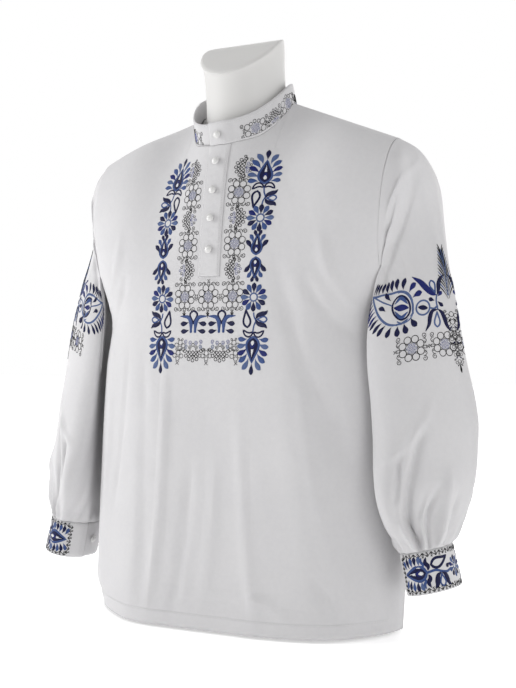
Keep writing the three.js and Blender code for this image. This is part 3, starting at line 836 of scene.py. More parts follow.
@dataclass(frozen=True)
class CollarForm:
    """The shape of the stand collar."""

    body: BodyForm
    lift: float = -0.3
    start: float = -11.0
    end: float = 368.0
    # The top edge: middle x and y, half width and half depth.
    top: Row = (-5.0, -7.0, 77.0, 74.0)
    band: float = 2.2
    seam: float = 0.4
    gap: float = 0.5
    edge: Table = Table(
        "deg z",
        (0, 738), (20, 740), (40, 749), (60, 765), (80, 784), (100, 799), (130, 806), (180, 806),
    )

    def foot_at(self, turn: float) -> Vector:
        """The neck hole's edge.

        Args:
            turn: Degrees round the neck from the front.

        Returns:
            The point.
        """
        angle = math.radians(turn)
        face = Face.FRONT if math.cos(angle) > 0 else Face.BACK
        across = self.body.neck_half * math.sin(angle) / self.body.ridge_x
        return self.body.point(face, across, 2)

    def top_at(self, turn: float) -> Vector:
        """The collar's top edge.

        Args:
            turn: Degrees round the neck from the front.

        Returns:
            The point.
        """
        angle = math.radians(turn)
        x0, y0, half, depth = self.top
        x = x0 + half * math.sin(angle)
        from_front = abs((turn + 540) % 360 - 180)
        z = self.edge.value("z", from_front) - self.body.settled(x)
        return Vector((x, y0 - depth * math.cos(angle), z))

    def height(self, turn: float) -> float:
        """The collar's height at a turn."""
        return (self.top_at(turn) - self.foot_at(turn)).length

    def point(self, turn: float, up: float, inward: float = 0.0) -> Vector:
        """A point of the collar.

        Args:
            turn: Degrees round the neck from the front.
            up: 0 at its foot and 1 at its top edge.
            inward: How far inside the outer face.

        Returns:
            The point.
        """
        tuck = (self.band + self.seam) * smooth((turn - 318) / 24)
        over = (self.band + self.gap) * smooth((20 - turn) / 14) if turn < 60 else 0.0
        foot, top = self.foot_at(turn), self.top_at(turn)
        aim = Vector((-foot.x, -foot.y, 0)).normalized()
        made = foot.lerp(top, up) + aim * (tuck - over + inward)
        made.z += self.lift * (1 - up)
        return made


@dataclass(frozen=True)
class TorsoForm:
    """The shape of the torso form and its neck."""

    body: BodyForm
    ridge_x: float = 206.0
    drop: float = 2.1
    round_off: float = 58.0
    sections: Table = Table(
        "z half front back square",
        (0, 172, 104, 96, 2.2),
        (90, 176, 107, 98, 2.2),
        (250, 158, 92, 84, 2.2),
        (360, 176, 100, 96, 2.3),
        (460, 196, 106, 105, 2.4),
    )
    neck: Table = Table(
        "z y half_width half_depth",
        (690, -6, 60, 58),
        (745, -6, 60, 58),
        (790, -7, 61, 60),
        (822, -12, 62, 63),
        (850, -21, 66, 67),
        (900, -28, 65, 70),
    )
    # The sloping top: z and y of its bend, the slopes behind and before it, and the rim's radius.
    cut: Row = (862.0, -20.0, 0.25, 0.95, 4.0)

    def point(self, face: Face, across: float, up: float) -> Vector:
        """A point of the trunk.

        Args:
            face: Front or back.
            across: From -1 to 1.
            up: 0 at the base, 1 at the arms and 2 at the ridge.

        Returns:
            The point.
        """
        edge = abs(across)
        get = self.sections.value
        if up <= 1:
            z = lerp(0, self.body.arm_z, up)
            y = get(face.word, z) * math.sqrt(max(0.0, 1 - edge ** get("square", z)))
            return Vector((get("half", z) * across, face.value * y, z))
        turn = math.radians((up - 1) * 90)
        level = self.body.arm_z
        half = lerp(get("half", level), self.ridge_x, math.sin(turn) ** 2)
        steep = 2 * self.body.arch(face, edge * self.ridge_x / self.body.ridge_x) + 0.25
        arch = math.cos(turn) ** steep
        y = get(face.word, level) * math.sqrt(max(0.0, 1 - edge ** get("square", level))) * arch
        ridge = self.body.ridge(self.ridge_x * across) - self.drop - self.round_off * edge**7
        z = level + (ridge - level) * math.sin(turn)
        return Vector((half * across, face.value * y, z))

    def neck_point(self, turn: float, level: float, inset: float = 0.0) -> Vector:
        """A point of the neck.

        Args:
            turn: Degrees round the neck from the front.
            level: Height.
            inset: How far inside.

        Returns:
            The point.
        """
        at = min(level, 900.0)
        wide = self.neck.value("half_width", at) - inset
        deep = self.neck.value("half_depth", at) - inset
        angle = math.radians(turn)
        y = self.neck.value("y", at) - deep * math.cos(angle)
        return Vector((wide * math.sin(angle), y, level))

    def cut_z(self, y: float) -> float:
        """The height of the neck's sloping top.

        Args:
            y: Depth.

        Returns:
            The height.
        """
        z, bend_y, back, front, _ = self.cut
        past = y - bend_y
        return z + back * past - (front - back) * 8 * math.log1p(math.exp(-past / 8))

    def cut_point(self, turn: float, share: float, inset: float, below: float) -> Vector:
        """A point between the neck's straight part and its sloping top.

        Args:
            turn: Degrees round the neck from the front.
            share: 0 where the neck is straight and 1 at its top.
            inset: How far inside.
            below: How far under the top.

        Returns:
            The point.
        """
        level = lerp(795, 850 - 34 * math.cos(math.radians(turn)), share)
        made = self.neck_point(turn, level, inset)
        made.z = lerp(795, self.cut_z(made.y) - below, share)
        return made


# --- shader maths
class Value:
    """A socket of a material, worked on with Python's operators."""

    def __init__(self, tree: "Shader", socket: Socket) -> None:
        """Keeps the material's tree and the socket."""
        self.tree = tree
        self.socket = socket

    def math(self, operation: str, *others: "Value | float") -> "Value":
        """A Math node on this and others."""
        inputs = {0: self, **{k + 1: other for k, other in enumerate(others)}}
        return self.tree.node("ShaderNodeMath", {"operation": operation}, inputs)

    def __add__(self, other: "Value | float") -> "Value":
        """This plus the other, on either side."""
        return self.math("ADD", other)

    def __mul__(self, other: "Value | float") -> "Value":
        """This times the other, on either side."""
        return self.math("MULTIPLY", other)

    __radd__ = __add__
    __rmul__ = __mul__

    def sine(self) -> "Value":
        """The sine of this."""
        return self.math("SINE")

    def step(self, low: float, high: float) -> "Value":
        """A soft step from 0 at low to 1 at high.

        Args:
            low: Where it starts.
            high: Where it ends.

        Returns:
            The step.
        """
        settings = {"interpolation_type": "SMOOTHSTEP"}
        inputs = {"Value": self, "From Min": low, "From Max": high}
        return self.tree.node("ShaderNodeMapRange", settings, inputs)


class Shader:
    """The node tree of one material."""

    def __init__(self, name: str) -> None:
        """Makes the material with its surface shader.

        Args:
            name: The material's name.
        """
        self.material = bpy.data.materials.new(name)
        self.material.use_nodes = True
        self.nodes = self.material.node_tree.nodes
        self.links = self.material.node_tree.links
        self.surface = self.nodes["Principled BSDF"]

    def feed(self, socket: Socket, value: object) -> None:
        """Links a value to a socket, or sets the socket to it.

        Args:
            socket: The input.
            value: A value, number or colour.
        """
        if isinstance(value, Value):
            self.links.new(value.socket, socket)
        else:
            socket.default_value = value

    def node(
        self,
        kind: str,
        settings: dict[str, object] | None = None,
        inputs: dict[str | int, object] | None = None,
        output: str | int = 0,
    ) -> Value:
        """Adds a node.

        Args:
            kind: The node's type.
            settings: Its properties, set before the sockets.
            inputs: Values or links, by socket name or number.
            output: Which output is wanted.

        Returns:
            The wanted output.
        """
        made = self.nodes.new(kind)
        for name, value in (settings or {}).items():
            setattr(made, name, value)
        for name, value in (inputs or {}).items():
            self.feed(made.inputs[name], value)
        return Value(self, made.outputs[output])

    def shades(self, mask: Value, low: Row, high: Row) -> Value:
        """A colour between two, by a mask from 0 to 1."""
        settings = {"data_type": "RGBA"}
        return self.node("ShaderNodeMix", settings, {0: mask, 6: low, 7: high}, output=2)

    def noise(self, where: Value, scale: float, detail: float = 3.0, rough: float = 0.5) -> Value:
        """Noise from 0 to 1 at a place."""
        inputs = {"Vector": where, "Scale": scale, "Detail": detail, "Roughness": rough}
        return self.node("ShaderNodeTexNoise", None, inputs)

    def place(self) -> Value:
        """The place on the piece, in metres."""
        return self.node("ShaderNodeTexCoord", output="Object")

    def bump(self, height: Value, strength: float, distance: float) -> None:
        """Turns a height into the surface's relief.

        Args:
            height: From 0 to 1.
            strength: How much of it shows.
            distance: How deep it is, in metres.
        """
        inputs = {"Height": height, "Strength": strength, "Distance": distance}
        made = self.node("ShaderNodeBump", None, inputs)
        self.links.new(made.socket, self.surface.inputs["Normal"])

    def set(self, **values: object) -> None:
        """Feeds sockets of the surface shader, with _ for a space in their names."""
        for name, value in values.items():
            self.feed(self.surface.inputs[name.replace("_", " ")], value)


def rgb(*levels: float) -> Row:
    """A shader colour from one given in 0 to 255 as it is seen."""
    shares = [level / 255 for level in levels]
    return (*(k / 12.92 if k <= 0.04045 else ((k + 0.055) / 1.055) ** 2.4 for k in shares), 1.0)


# --- finishes
@dataclass(frozen=True)
class Cotton:
    """Plain-woven cotton with fine threads, slight slubs and a soft sheen."""

    name: str
    tilt: float = 0.0
    thread: float = 0.00055
    pale: Triple = (211, 210, 211)
    dull: Triple = (202, 201, 203)
    relief: float = 0.35

    def material(self) -> Material:
        """Makes the material.

        Returns:
            The material.
        """
        s = Shader(self.name)
        settings = {"vector_type": "POINT"}
        inputs = {"Vector": s.place(), "Rotation": (0.0, math.radians(self.tilt), 0.0)}
        where = s.node("ShaderNodeMapping", settings, inputs)
        parts = [s.node("ShaderNodeSeparateXYZ", None, {0: where}, output=k) for k in range(3)]
        turn = 2 * math.pi / self.thread
        slub = s.noise(where, 160, 2.0, 0.6)
        warp = ((parts[0] + parts[1] * 0.6) * turn + slub * 3.0).sine()
        weft = (parts[2] * turn + slub * 2.5).sine()
        weave = warp * weft * 0.5 + 0.5
        crush = s.noise(where, 46, 4.0, 0.55)
        drift = s.noise(where, 9, 2.0, 0.5)
        tone = (weave * 0.25 + slub * 0.35 + drift * 0.4).step(0.15, 0.85)
        s.set(Base_Color=s.shades(tone, rgb(*self.dull), rgb(*self.pale)))
        s.set(Roughness=slub * 0.12 + 0.8, Sheen_Weight=0.12, Sheen_Roughness=0.55)
        s.set(Specular_IOR_Level=0.25)
        s.bump(weave * 0.12 + slub * 0.2 + crush * 0.9, self.relief, 0.0012)
        return s.material


@dataclass(frozen=True)
class Pearl:
    """White pearly plastic of the buttons."""

    name: str

    def material(self) -> Material:
        """Makes the material.

        Returns:
            The material.
        """
        s = Shader(self.name)
        where = s.place()
        cloud = s.noise(where, 220, 3.0, 0.6)
        s.set(Base_Color=s.shades(cloud, rgb(206, 206, 207), rgb(222, 221, 218)))
        s.set(Roughness=cloud * 0.15 + 0.2, Coat_Weight=0.4, Coat_Roughness=0.15)
        s.bump(cloud, 0.05, 0.0004)
        return s.material


@dataclass(frozen=True)
class FormSkin:
    """Matt white painted shell of the dress form, with a faint orange peel."""

    name: str

    def material(self) -> Material:
        """Makes the material.

        Returns:
            The material.
        """
        s = Shader(self.name)
        where = s.place()
        peel = s.noise(where, 900, 2.0, 0.5)
        patch = s.noise(where, 14, 3.0, 0.5)
        s.set(Base_Color=s.shades(patch, rgb(206, 205, 204), rgb(213, 212, 210)))
        s.set(Roughness=patch * 0.12 + 0.48, Specular_IOR_Level=0.4)
        s.bump(peel, 0.08, 0.0003)
        return s.material


class Thread(Named):
    """The embroidery threads, with their colours as seen."""

    NAVY = (8, 13, 58)
    ROYAL = (16, 28, 98)
    BLUE = (56, 78, 130)
    GREY_BLUE = (80, 98, 140)
    LILAC = (108, 112, 154)
    BLACK = (15, 15, 19)
    WHITE = (226, 226, 228)


@dataclass(frozen=True)
class Floss:
    """Twisted embroidery thread, laid side by side, coloured with painted light on each stitch's ridge and
    painted shade between stitches, mixed with random flecks.
    """

    thread: Thread

    def material(self) -> Material:
        """Makes the material.

        Returns:
            The material.
        """
        s = Shader(f"floss_{self.thread.word}")
        base = self.thread.value
        run = s.node("ShaderNodeAttribute", {"attribute_name": "run"}, None, output="Fac")
        strand = (run * (2 * math.pi / 0.5)).sine() * 0.5 + 0.5
        fleck = s.noise(s.place(), 700, 2.0, 0.6)
        # light and dark are lit and shaded copies of the thread's colour: the stitch stripes paint light
        # on each stitch's ridge and shade in the grooves between, half mixed with random flecks.
        light = tuple(min(255, c * 1.12 + 5) for c in base)
        dark = tuple(c * 0.8 for c in base)
        tone = (strand * 0.5 + fleck * 0.5).step(0.1, 0.9)
        s.set(Base_Color=s.shades(tone, rgb(*dark), rgb(*light)))
        s.set(Roughness=fleck * 0.15 + 0.42, Specular_IOR_Level=0.22)
        s.bump(strand, 0.45, 0.0003)
        return s.material


@dataclass(frozen=True)
class Studio:
    """A pale floor, soft lamps and the camera."""

    camera_at: Triple = (0.9325, -1.585, 0.415)
    heading: float = 30.0
    dip: float = 0.2
    lens: float = 62.9
    # name, place, aim, width, height, power
    lamps: tuple[tuple[str, Triple, Triple, float, float, float], ...] = (
        ("lamp_left", (-2.2, -1.2, 1.2), (-0.1, 0.0, 0.4), 1.2, 1.4, 35.0),
        ("lamp_right", (2.1, -1.3, 1.0), (0.2, 0.0, 0.35), 1.0, 1.4, 9.0),
        ("lamp_back", (-0.6, 2.2, 1.5), (0.0, 0.0, 0.4), 1.6, 1.4, 14.0),
    )

    def build(self) -> None:
        """Makes the floor, the lamps, the sky and the camera."""
        work = Meshwork()
        corners = [work.add(Vector((x, y, 0))) for x, y in ((-1, -1), (1, -1), (1, 1), (-1, 1))]
        for corner in corners:
            work.points[corner] *= 9000
        work.face(corners)
        s = Shader("pale_floor")
        patch = s.noise(s.place(), 3, 2.0, 0.5)
        s.set(Base_Color=s.shades(patch, rgb(238, 238, 238), rgb(242, 242, 242)))
        s.set(Roughness=0.7, Emission_Color=rgb(255, 255, 255), Emission_Strength=0.45)
        work.piece("floor", [s.material])
        for name, place, aim, width, height, power in self.lamps:
            self.lamp(name, Vector(place), Vector(aim), (width, height), power)
        self.sky()
        self.camera()

    def lamp(self, name: str, place: Vector, aim: Vector, size: Spot, power: float) -> None:
        """Hangs one soft lamp.

        Args:
            name: Its name.
            place: Where it hangs, in metres.
            aim: What it points at.
            size: Its width and height.
            power: Its power in watts.
        """
        light = bpy.data.lights.new(name, "AREA")
        light.shape = "RECTANGLE"
        light.size, light.size_y = size
        light.energy = power
        made = bpy.data.objects.new(name, light)
        made.location = place
        made.rotation_mode = "QUATERNION"
        made.rotation_quaternion = (aim - place).to_track_quat("-Z", "Y")
        bpy.context.scene.collection.objects.link(made)

    def sky(self) -> None:
        """Sets an even, nearly white surround, a little darker before the shirt."""
        world = bpy.data.worlds.new("soft_room")
        world.use_nodes = True
        nodes, links = world.node_tree.nodes, world.node_tree.links
        where = nodes.new("ShaderNodeTexCoord")
        parts = nodes.new("ShaderNodeSeparateXYZ")
        ramp = nodes.new("ShaderNodeMapRange")
        ramp.inputs["From Min"].default_value = -0.5
        ramp.inputs["From Max"].default_value = 0.35
        ramp.inputs["To Min"].default_value = 0.36
        ramp.inputs["To Max"].default_value = 1.0
        links.new(where.outputs["Generated"], parts.inputs[0])
        links.new(parts.outputs["Y"], ramp.inputs["Value"])
        links.new(ramp.outputs[0], nodes["Background"].inputs["Strength"])
        nodes["Background"].inputs["Color"].default_value = (1.0, 1.0, 1.0, 1.0)
        bpy.context.scene.world = world
        bpy.context.scene.view_settings.view_transform = "Standard"

    def camera(self) -> None:
        """Sets the camera up."""
        lens = bpy.data.cameras.new("camera")
        lens.lens = self.lens
        lens.sensor_width = 36.0
        lens.clip_end = 50.0
        made = bpy.data.objects.new("camera", lens)
        made.location = self.camera_at
        turn = math.radians(self.heading)
        ahead = Vector((-math.sin(turn), math.cos(turn), -math.tan(math.radians(self.dip))))
        made.rotation_mode = "QUATERNION"
        made.rotation_quaternion = ahead.to_track_quat("-Z", "Y")
        bpy.context.scene.collection.objects.link(made)
        bpy.context.scene.camera = made


# --- the pieces
def settle(piece: Piece, slot: Slot, *nodes: str) -> Piece:
    """Makes a piece ride with the part and hides what it replaces.

    Args:
        piece: The new piece.
        slot: Its finish in the record; not used.
        *nodes: The solids it stands for.

    Returns:
        The piece.
    """
    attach(piece, "root")
    if nodes:
        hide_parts(*nodes)
    faces = piece.data.polygons
    area = sum(face.area for face in faces)
    LOG.info("%s: %d faces, %.4f square metres all round", piece.name, len(faces), area)
    return piece


@dataclass
class BodyPanel:
    """The front or the back of the shirt."""

    form: BodyForm
    face: Face
    finish: Material
    fine: int = 58
    skirt_rows: int = 74
    yoke_rows: int = 66
    slit_half: float = 1.5
    slit_foot: float = 0.173
    fold_levels: Row = (21.4, 22.6, 23.4, 24.2, 25.6)
    flat: Spot = (0.64, 0.80)
    area: float = 0.445

    def columns(self) -> list[float]:
        """Places across, from -1 to 1, closer together where the body turns.

        Returns:
            The places, rising.
        """
        edge = self.form.ridge_x
        marks = [self.slit_half, 18.5, 74.0, 77.0, 78.8, 79.6, 80.0, edge]
        for k in range(1, self.fine):
            x = edge * math.sin(math.pi / 2 * k / self.fine)
            if min(abs(x - mark) for mark in marks) > 1.4:
                marks.append(x)
        marks.sort()
        return [-x / edge for x in reversed(marks)] + [x / edge for x in marks]

    def rows(self) -> list[float]:
        """Places up, from 0 at the hem to 2 at the top, with one at the slit's foot.

        Returns:
            The places, rising.
        """
        low, foot = self.form.hem_z, 1 + self.slit_foot
        fold = [(z - low) / (self.form.arm_z - low) for z in self.fold_levels]
        skirt = [k / self.skirt_rows for k in range(self.skirt_rows + 1) if k != 3] + fold
        yoke = [1 + k / self.yoke_rows for k in range(1, self.yoke_rows + 1)]
        return sorted({*skirt, *(up for up in yoke if abs(up - foot) > 0.006), foot})

    def build(self) -> None:
        """Makes the panel as a thin sheet on its solid."""
        columns, rows = self.columns(), self.rows()
        grid = [[self.form.point(self.face, a, up) for a in columns] for up in rows]
        normals = grid_normals(grid, self.form.outward)
        for j, up in enumerate(rows):
            for i, across in enumerate(columns):
                n = normals[j][i]
                if abs(across) > 0.9999:
                    square = (math.copysign(1, across), 0, 0) if up <= 1 else (0, n.y, n.z)
                    normals[j][i] = Vector(square).normalized()
                elif up == 2 and self.form.neck_turn(self.face, across) > 89:
                    normals[j][i] = Vector((n.x, 0, n.z)).normalized()
        middle = len(columns) // 2 - 1
        foot = rows.index(1 + self.slit_foot)
        keep = (lambda j, i: i != middle or j < foot) if self.face is Face.FRONT else None
        work = wall(grid, moved(grid, normals, -self.form.cloth), keep=keep)
        name = self.face.word
        piece = settle(work.piece(f"{name}_cloth", [self.finish]), Slot.COTTON, name)


@dataclass
class Placket:
    """The band down the front opening that carries the buttons."""

    form: BodyForm
    finish: Material
    half_width: float = 18.5
    foot: float = 0.173
    head: float = 1.992
    gap: float = 0.1
    proud: float = 2.3
    steps: int = 100
    fine: int = 12
    flat: Spot = (0.037, 0.204)

    def point(self, x: float, up: float) -> Vector:
        """A point of the front under the placket."""
        return self.form.point(Face.FRONT, x / self.form.ridge_x, up)

    def build(self) -> None:
        """Makes the band with soft pressed edges."""
        inner = [-0.76 + 1.52 * k / self.fine for k in range(self.fine + 1)]
        shares = [-1, -0.97, -0.93, -0.88, -0.82, *inner, 0.82, 0.88, 0.93, 0.97, 1]
        ups = [lerp(1 + self.foot, self.head, k / self.steps) for k in range(self.steps + 1)]
        grid = [[self.point(self.half_width * s, up) for s in shares] for up in ups]
        normals = grid_normals(grid, self.form.outward)
        outer: Grid = []
        for j, row in enumerate(grid):
            made = []
            for i, p in enumerate(row):
                edge = abs(shares[i])
                soft = 1.3 * smooth((edge - 0.78) / 0.22) + 0.3 * math.exp(-(((edge - 0.83) / 0.03) ** 2))
                pucker = 0.35 * grain(j * 0.35, shares[i] * 3, 4) * (1 - edge)
                made.append(p + normals[j][i] * (self.proud - soft + pucker))
            outer.append(made)
        work = wall(outer, moved(grid, normals, self.gap))
        piece = settle(work.piece("placket_band", [self.finish]), Slot.BAND, "placket")


@dataclass
class Collar:
    """The stand collar."""

    form: CollarForm
    finish: Material
    steps: int = 220
    rows: int = 12
    flat: Spot = (0.50, 0.04)

    def build(self) -> None:
        """Makes the collar with soft pressed edges."""
        outer: Grid = []
        inner: Grid = []
        for j in range(self.rows + 1):
            up = j / self.rows
            edge = abs(2 * up - 1)
            soft = (0.7 if up > 0.5 else 0.1) * smooth((edge - 0.86) / 0.14)
            outer.append([])
            inner.append([])
            for k in range(self.steps + 1):
                turn = lerp(self.form.start, self.form.end, k / self.steps)
                wave = 0.5 * grain(turn / 9, up * 2, 3) * (1 - edge)
                outer[-1].append(self.form.point(turn, up, soft - wave))
                inner[-1].append(self.form.point(turn, up, self.form.band))
        piece = wall(outer, inner).piece("collar_band", [self.finish])
        settle(piece, Slot.BAND, "collar")


@dataclass
class Sleeve:
    """One sleeve, gathered into its cuff."""

    form: SleeveForm
    cuff: CuffForm
    side: Side
    finish: Material
    columns: int = 196
    rows: int = 128
    flat: Spot = (0.50, 0.585)
    area: float = 0.21

    def build(self) -> None:
        """Makes the sleeve as a thin sheet on its solid."""
        form = self.form
        grid: Grid = []
        for j in range(self.rows + 1):
            at = j / self.rows
            row = [form.point(360 * k / self.columns, at) for k in range(self.columns)]
            if j == 0:
                row = [p + Vector((form.body.seam, 0, 0)) for p in row]
            grid.append(row)
        middles = [sum(row, Vector()) / len(row) for row in grid]
        normals = grid_normals(grid, lambda p: p, closed=True)
        for j, row in enumerate(normals):
            for k, n in enumerate(row):
                if n.dot(grid[j][k] - middles[j]) < 0:
                    n = -n
                if j == 0:
                    n = Vector((0, n.y, n.z)).normalized()
                if j == self.rows:
                    n = (n - self.cuff.axis * n.dot(self.cuff.axis)).normalized()
                row[k] = n
        inner = moved(grid, normals, -form.body.cloth)
        work = wall(mirrored(grid, self.side), mirrored(inner, self.side), closed=True)
        name = f"sleeve_{self.side.word}"
        piece = settle(work.piece(f"{name}_cloth", [self.finish]), Slot.COTTON, name)


@dataclass
class Cuff:
    """One cuff, lapped at its button."""

    form: CuffForm
    side: Side
    finish: Material
    columns: int = 150
    rows: int = 14
    flat: Spot = (0.28, 0.057)

    def build(self) -> None:
        """Makes the cuff with soft pressed edges."""
        outer: Grid = []
        inner: Grid = []
        for j in range(self.rows + 1):
            down = j / self.rows
            edge = abs(2 * down - 1)
            soft = 0.7 * smooth((edge - 0.88) / 0.12)
            outer.append([])
            inner.append([])
            for k in range(self.columns + 1):
                angle = lerp(self.form.start, self.form.end, k / self.columns)
                tuck = self.form.tuck(angle)
                wave = 0.5 * grain(angle / 14, down * 2, 6 + self.side.value) * (1 - edge)
                outer[-1].append(self.form.point(angle, down, tuck + soft - wave))
                inner[-1].append(self.form.point(angle, down, tuck + self.form.band))
        name = f"cuff_{self.side.word}"
        work = wall(mirrored(outer, self.side), mirrored(inner, self.side))
        piece = settle(work.piece(f"{name}_band", [self.finish]), Slot.BAND, name)


@dataclass
class Buttons:
    """The white domed buttons, each with a rim and a shank."""

    body: BodyForm
    collar: CollarForm
    cuff: CuffForm
    finish: Material
    radius: float = 5.8
    height: float = 5.6
    turns: int = 40
    placket_ups: tuple[float, ...] = (1.865, 1.67, 1.5, 1.32)
    cuff_angle: float = -177.0

    def profile(self) -> list[Spot]:
        """Radius and height from the shank's foot to the top of the dome.

        Returns:
            The points.
        """
        r, h = self.radius, self.height
        low = [(2.2, 0.0), (2.2, 1.1), (3.6, 1.35), (r * 0.86, 1.6), (r * 0.96, 2.1)]
        rim = [(r, 2.7), (r * 0.985, 3.3), (r * 0.93, 3.8), (r * 0.86, 4.0)]
        turns = (0.15, 0.4, 0.7, 1.0, 1.3, 1.5)
        dome = [(r * 0.82 * math.cos(a), 3.9 + (h - 3.9) * math.sin(a)) for a in turns]
        return low + rim + dome

    def one(self, name: str, at: Vector, aim: Vector) -> None:
        """Makes one button.

        Args:
            name: The node it replaces.
            at: Where it stands.
            aim: The direction it faces.
        """
        turn = Vector((0, 0, 1)).rotation_difference(aim)
        around = [2 * math.pi * k / self.turns for k in range(self.turns)]
        rings = []
        for radius, height in self.profile():
            spots = [Vector((radius * math.cos(a), radius * math.sin(a), height)) for a in around]
            rings.append([at + turn @ spot for spot in spots])
        work = Meshwork()
        work.loft(rings)
        settle(work.piece(f"{name}_dome", [self.finish]), Slot.BUTTON, name)

    def build(self) -> None:
        """Makes all the buttons."""
        for k, up in enumerate(self.placket_ups):
            at = self.body.point(Face.FRONT, 0.0, up)
            slope = (self.body.point(Face.FRONT, 0.0, up + 0.02) - at).normalized()
            aim = Vector((0, -slope.z, slope.y)).normalized()
            self.one(f"button_placket_{k + 1}", at + aim * 3.1, aim)
        foot, top = self.collar.foot_at(0), self.collar.top_at(0)
        slope = top - foot
        aim = Vector((0, -slope.z, slope.y)).normalized()
        self.one("button_collar", foot.lerp(top, 0.4) + aim * 3.5, aim)
        tuck = self.cuff.tuck(self.cuff_angle)
        on = self.cuff.point(self.cuff_angle, 0.5, tuck)
        aim = (on - self.cuff.point(self.cuff_angle, 0.5, tuck + 2.2)).normalized()
        for side in Side:
                self.one(f"button_cuff_{side.word}", (on + aim * 0.7) * side.flip, aim * side.flip)


@dataclass
class DressForm:
    """The smooth torso form, whose neck shows above the collar."""

    form: TorsoForm
    finish: Material
    turns: int = 96

    def trunk(self) -> Grid:
        """Rings of the trunk from the base to the shoulders.

        Returns:
            The rings.
        """
        ups = [k / 20 for k in range(20)] + [1 + 0.96 * k / 32 for k in range(33)]
        rings = []
        for up in ups:
            ring = []
            for k in range(self.turns):
                turn = 2 * math.pi * k / self.turns
                face = Face.FRONT if math.cos(turn) >= 0 else Face.BACK
                ring.append(self.form.point(face, math.sin(turn), up))
            rings.append(ring)
        return rings

    def neck(self) -> Grid:
        """Rings of the neck up to its rounded rim.

        Returns:
            The rings.
        """
        turns = [360 * k / self.turns for k in range(self.turns)]
        rings = [[self.form.neck_point(t, z) for t in turns] for z in (690, 710, 730, 750, 770, 785, 795)]
        rim = self.form.cut[4]
        for share in (0.2, 0.4, 0.6, 0.75, 0.88):
            rings.append([self.form.cut_point(t, share, 0, rim * share * share) for t in turns])
        for turn in (0, 15, 30, 45, 60, 75, 90):
            a = math.radians(turn)
            inset, below = rim * (1 - math.cos(a)), rim * (1 - math.sin(a))
            rings.append([self.form.cut_point(t, 1, inset, below) for t in turns])
        rings += [[self.form.cut_point(t, 1, inset, 0) for t in turns] for inset in (12, 26, 42, 54)]
        return rings

    def build(self) -> None:
        """Makes the trunk and the neck as one piece."""
        work = Meshwork()
        work.loft(self.trunk())
        work.loft(self.neck())
        settle(work.piece("torso_form_shell", [self.finish]), Slot.FORM, "torso_form")


# --- embroidery
NAVY, ROYAL, BLUE, GREY_BLUE, LILAC, BLACK, WHITE = Thread
ROUND = ((-1, 0.07), (-0.78, 0.5), (0, 1.0), (0.78, 0.5), (1, 0.07))
THIN = ((-1, 0.1), (0, 1.0), (1, 0.1))


class Ground:
    """A patch of cloth with a flat chart in millimetres, sampled for quick reading."""

    def __init__(self, spot: Callable[[float, float], Vector], low: Spot, high: Spot, flip: bool) -> None:
        """Samples the patch.

        Args:
            spot: The cloth's point at a place of the chart.
            low: The chart's least coordinates.
            high: The chart's greatest coordinates.
            flip: Whether the chart runs the other way round, seen from outside.
        """
        self.step = 2.5
        self.low = low
        self.flip = flip
        self.cols = int((high[0] - low[0]) / self.step) + 2
        self.rows = int((high[1] - low[1]) / self.step) + 2
        across = [low[0] + i * self.step for i in range(self.cols)]
        self.grid = [[spot(a, low[1] + j * self.step) for a in across] for j in range(self.rows)]
        self.normals: Grid = []
        for j, row in enumerate(self.grid):
            down, up = self.grid[max(0, j - 1)], self.grid[min(self.rows - 1, j + 1)]
            found = []
            for i in range(self.cols):
                right = row[min(self.cols - 1, i + 1)] - row[max(0, i - 1)]
                found.append(right.cross(up[i] - down[i]).normalized() * (-1.0 if flip else 1.0))
            self.normals.append(found)

    def at(self, a: float, b: float, lift: float) -> Vector:
        """The point at a place of the chart.

        Args:
            a: Place across.
            b: Place up.
            lift: How far off the cloth.

        Returns:
            The point, between the samples.
        """
        fa = clamp((a - self.low[0]) / self.step, 0, self.cols - 1.001)
        fb = clamp((b - self.low[1]) / self.step, 0, self.rows - 1.001)
        i, j = int(fa), int(fb)
        rows = []
        for grid in (self.grid, self.normals):
            low = grid[j][i].lerp(grid[j][i + 1], fa - i)
            rows.append(low.lerp(grid[j + 1][i].lerp(grid[j + 1][i + 1], fa - i), fb - j))
        return rows[0] + rows[1] * lift


def measured(spot: Callable[[float], Vector], keys: Sequence[float], zero: float) -> list[float]:
    """Distances along the cloth at a row of keys, counted from a zero key.

    Args:
        spot: The cloth's point at a key.
        keys: The keys, rising.
        zero: The key where the distance is nought.

    Returns:
        One distance a key.
    """
    points = [spot(key) for key in keys]
    run = [0.0]
    for p, q in zip(points, points[1:]):
        run.append(run[-1] + (q - p).length)
    start = read_back(keys, run, zero)
    return [value - start for value in run]


def read_back(keys: Sequence[float], values: Sequence[float], key: float) -> float:
    """The value at a key, straight between the given ones.

    Args:
        keys: The keys, rising.
        values: One value a key.
        key: Where to read.

    Returns:
        The value there.
    """
    i = min(max(bisect_right(keys, key) - 1, 0), len(keys) - 2)
    return lerp(values[i], values[i + 1], (key - keys[i]) / (keys[i + 1] - keys[i]))


def read_across(runs: Sequence[Row], keys: Sequence[float], share: float, run: float) -> float:
    """The key at a distance along the cloth, between neighbouring rows of distances.

    Args:
        runs: The rows.
        keys: The keys of each row.
        share: Which row, or how far between two.
        run: The distance.

    Returns:
        The key.
    """
    share = clamp(share, 0, len(runs) - 1.001)
    low, high = (read_back(runs[int(share) + k], keys, run) for k in (0, 1))
    return lerp(low, high, share - int(share))


def polar(radius: float, degrees: float, tall: float = 1.0) -> Spot:
    """A place at a radius and an angle from the origin, on an oval where tall isn't 1."""
    angle = math.radians(degrees)
    return radius * math.cos(angle), tall * radius * math.sin(angle)


def asides(line: Line, ring: bool = False) -> list[Spot]:
    """Unit steps to the right of a line.

    Args:
        line: Its points.
        ring: Whether its last point joins the first.

    Returns:
        One step a point.
    """
    last = len(line) - 1
    found = []
    for k in range(last + 1):
        before = line[k - 1] if ring or k else line[0]
        after = line[(k + 1) % (last + 1)] if ring or k < last else line[last]
        da, db = after[0] - before[0], after[1] - before[1]
        length = math.hypot(da, db) or 1.0
        found.append((db / length, -da / length))
    return found


